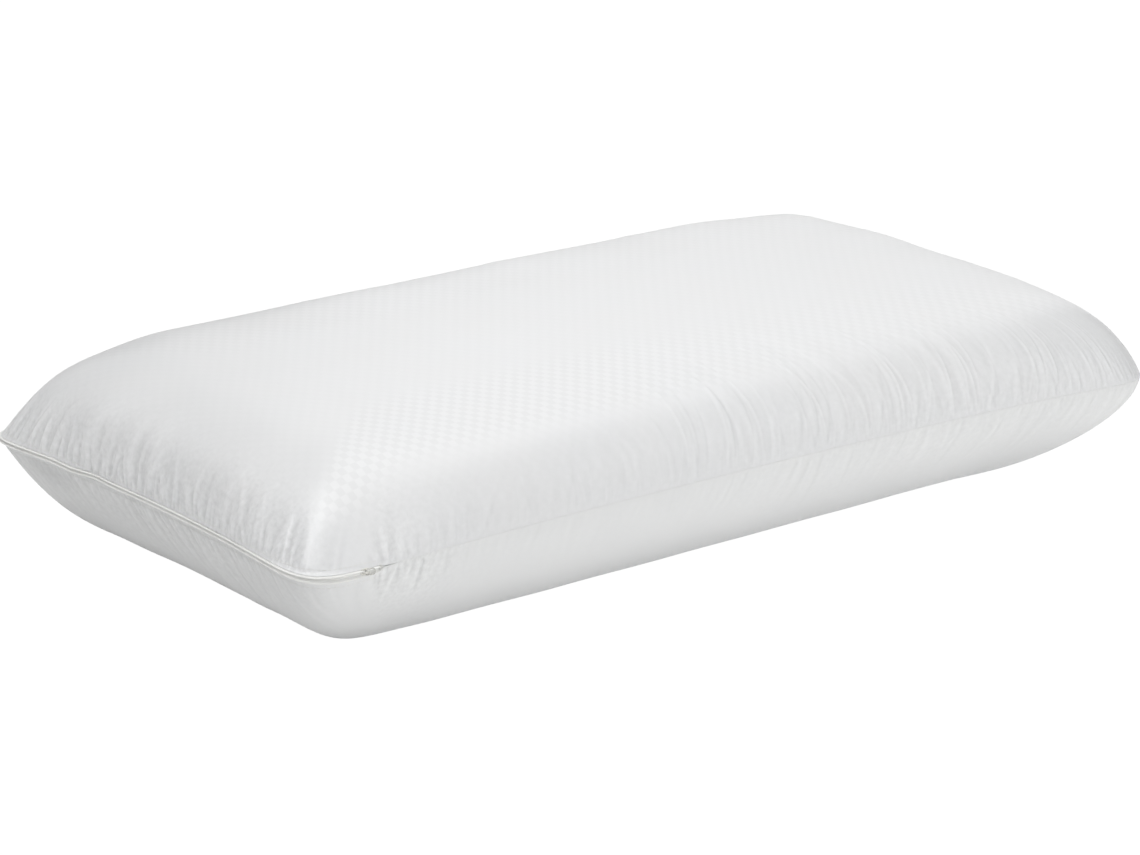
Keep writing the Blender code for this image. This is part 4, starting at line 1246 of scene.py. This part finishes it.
FLOOR_HALF = 30.0
FLOOR_GAP = 0.0002
FLOOR_GLOW = 0.080
FRONT_FLOOR_GLOW = 0.175  # light returned by the floor in front of the pillow and to its right
FRONT_START = -0.15
FRONT_END = 0.35
WHITE_FLOOR = 0.95  # how far the floor shows as the backdrop; the rest is the pillow's shadow
BACKDROP = 1.06  # the backdrop and the floor show as plain white
AMBIENT = 0.02
LIGHT_DISTANCE = 3.0
LIGHT_SIZE = 1.8
STRIP_SIZE = 0.5
LIGHTS = (  # name, azimuth and elevation in degrees, power in watts
    ("overhead", 0, 90, 11.5),
    ("front_low", 0, 12, 22.6),
    ("right_front_low", 45, 12, 18.0),
    ("right_back_low", 135, 12, 9.8),
    ("right_back", 135, 35, 8.8),
    ("right_back_high", 135, 62, 15.0),
    ("left_high", -90, 62, 54.5),
    ("corner_strip", -54, 23, 1.8),
)
AZIMUTH = -37.17
ELEVATION = 17.576
DISTANCE = 3.3705
TARGET = Vector((-0.0085, 0.0, 0.0571))
SENSOR = 36.0
FOCAL = 161.29


def looking_at(name, data, target, azimuth, elevation, distance):
    """An object that faces a point.  Azimuth 0 is on the -Y side, and 90 on the +X side."""
    turn = math.radians(azimuth)
    tip = math.radians(elevation)
    level = math.cos(tip)
    back = Vector((math.sin(turn) * level, -math.cos(turn) * level, math.sin(tip)))
    item = bpy.data.objects.new(name, data)
    item.location = target + back * distance
    item.rotation_euler = (-back).to_track_quat("-Z", "Y").to_euler()
    bpy.context.scene.collection.objects.link(item)
    return item


def floor():
    look = Look("studio_floor", (0.80, 0.80, 0.80), 0.9)
    look.set("Specular IOR Level", 0.0)
    look.set("Emission Color", WHITE)
    x, y, _ = look.split(look.object_place())
    front = look.math("SUBTRACT", look.times(x, 0.5), y)
    glow = look.ramp(front, FRONT_START, FRONT_END, FLOOR_GLOW, FRONT_FLOOR_GLOW)
    look.set("Emission Strength", glow)
    backdrop = look.node("Emission", {"Color": WHITE, "Strength": BACKDROP})
    look.output(look.times(look.camera_ray(), WHITE_FLOOR), look.shader, backdrop, "Material Output")
    mesh = bpy.data.meshes.new("studio_floor")
    corners = ((-1, -1), (1, -1), (1, 1), (-1, 1))
    level = cad_low.z - FLOOR_GAP
    mesh.from_pydata([(x * FLOOR_HALF, y * FLOOR_HALF, level) for x, y in corners], [], [(0, 1, 2, 3)])
    item = bpy.data.objects.new("studio_floor", mesh)
    bpy.context.scene.collection.objects.link(item)
    item.data.materials.append(look.material)


def studio():
    world = bpy.data.worlds.new("studio")
    graph = Graph(world)
    ambient = graph.nodes["Background"]
    graph.put(ambient.inputs["Color"], WHITE)
    graph.put(ambient.inputs["Strength"], AMBIENT)
    backdrop = graph.node("Background", {"Color": WHITE, "Strength": BACKDROP})
    graph.output(graph.camera_ray(), ambient, backdrop, "World Output")
    bpy.context.scene.world = world
    bpy.context.scene.view_settings.view_transform = "Standard"
    for name, azimuth, elevation, power in LIGHTS:
        lamp = bpy.data.lights.new(name, "AREA")
        lamp.shape = "SQUARE"
        lamp.size = STRIP_SIZE if name == "corner_strip" else LIGHT_SIZE
        lamp.energy = power
        looking_at(name, lamp, Vector((0.0, 0.0, SEAM_HEIGHT)), azimuth, elevation, LIGHT_DISTANCE)


def camera():
    data = bpy.data.cameras.new("camera")
    data.sensor_fit = "HORIZONTAL"
    data.sensor_width = SENSOR
    data.lens = FOCAL
    data.clip_start = 0.05
    data.clip_end = 100.0
    bpy.context.scene.camera = looking_at("camera", data, TARGET, AZIMUTH, ELEVATION, DISTANCE)


floor()
studio()
camera()
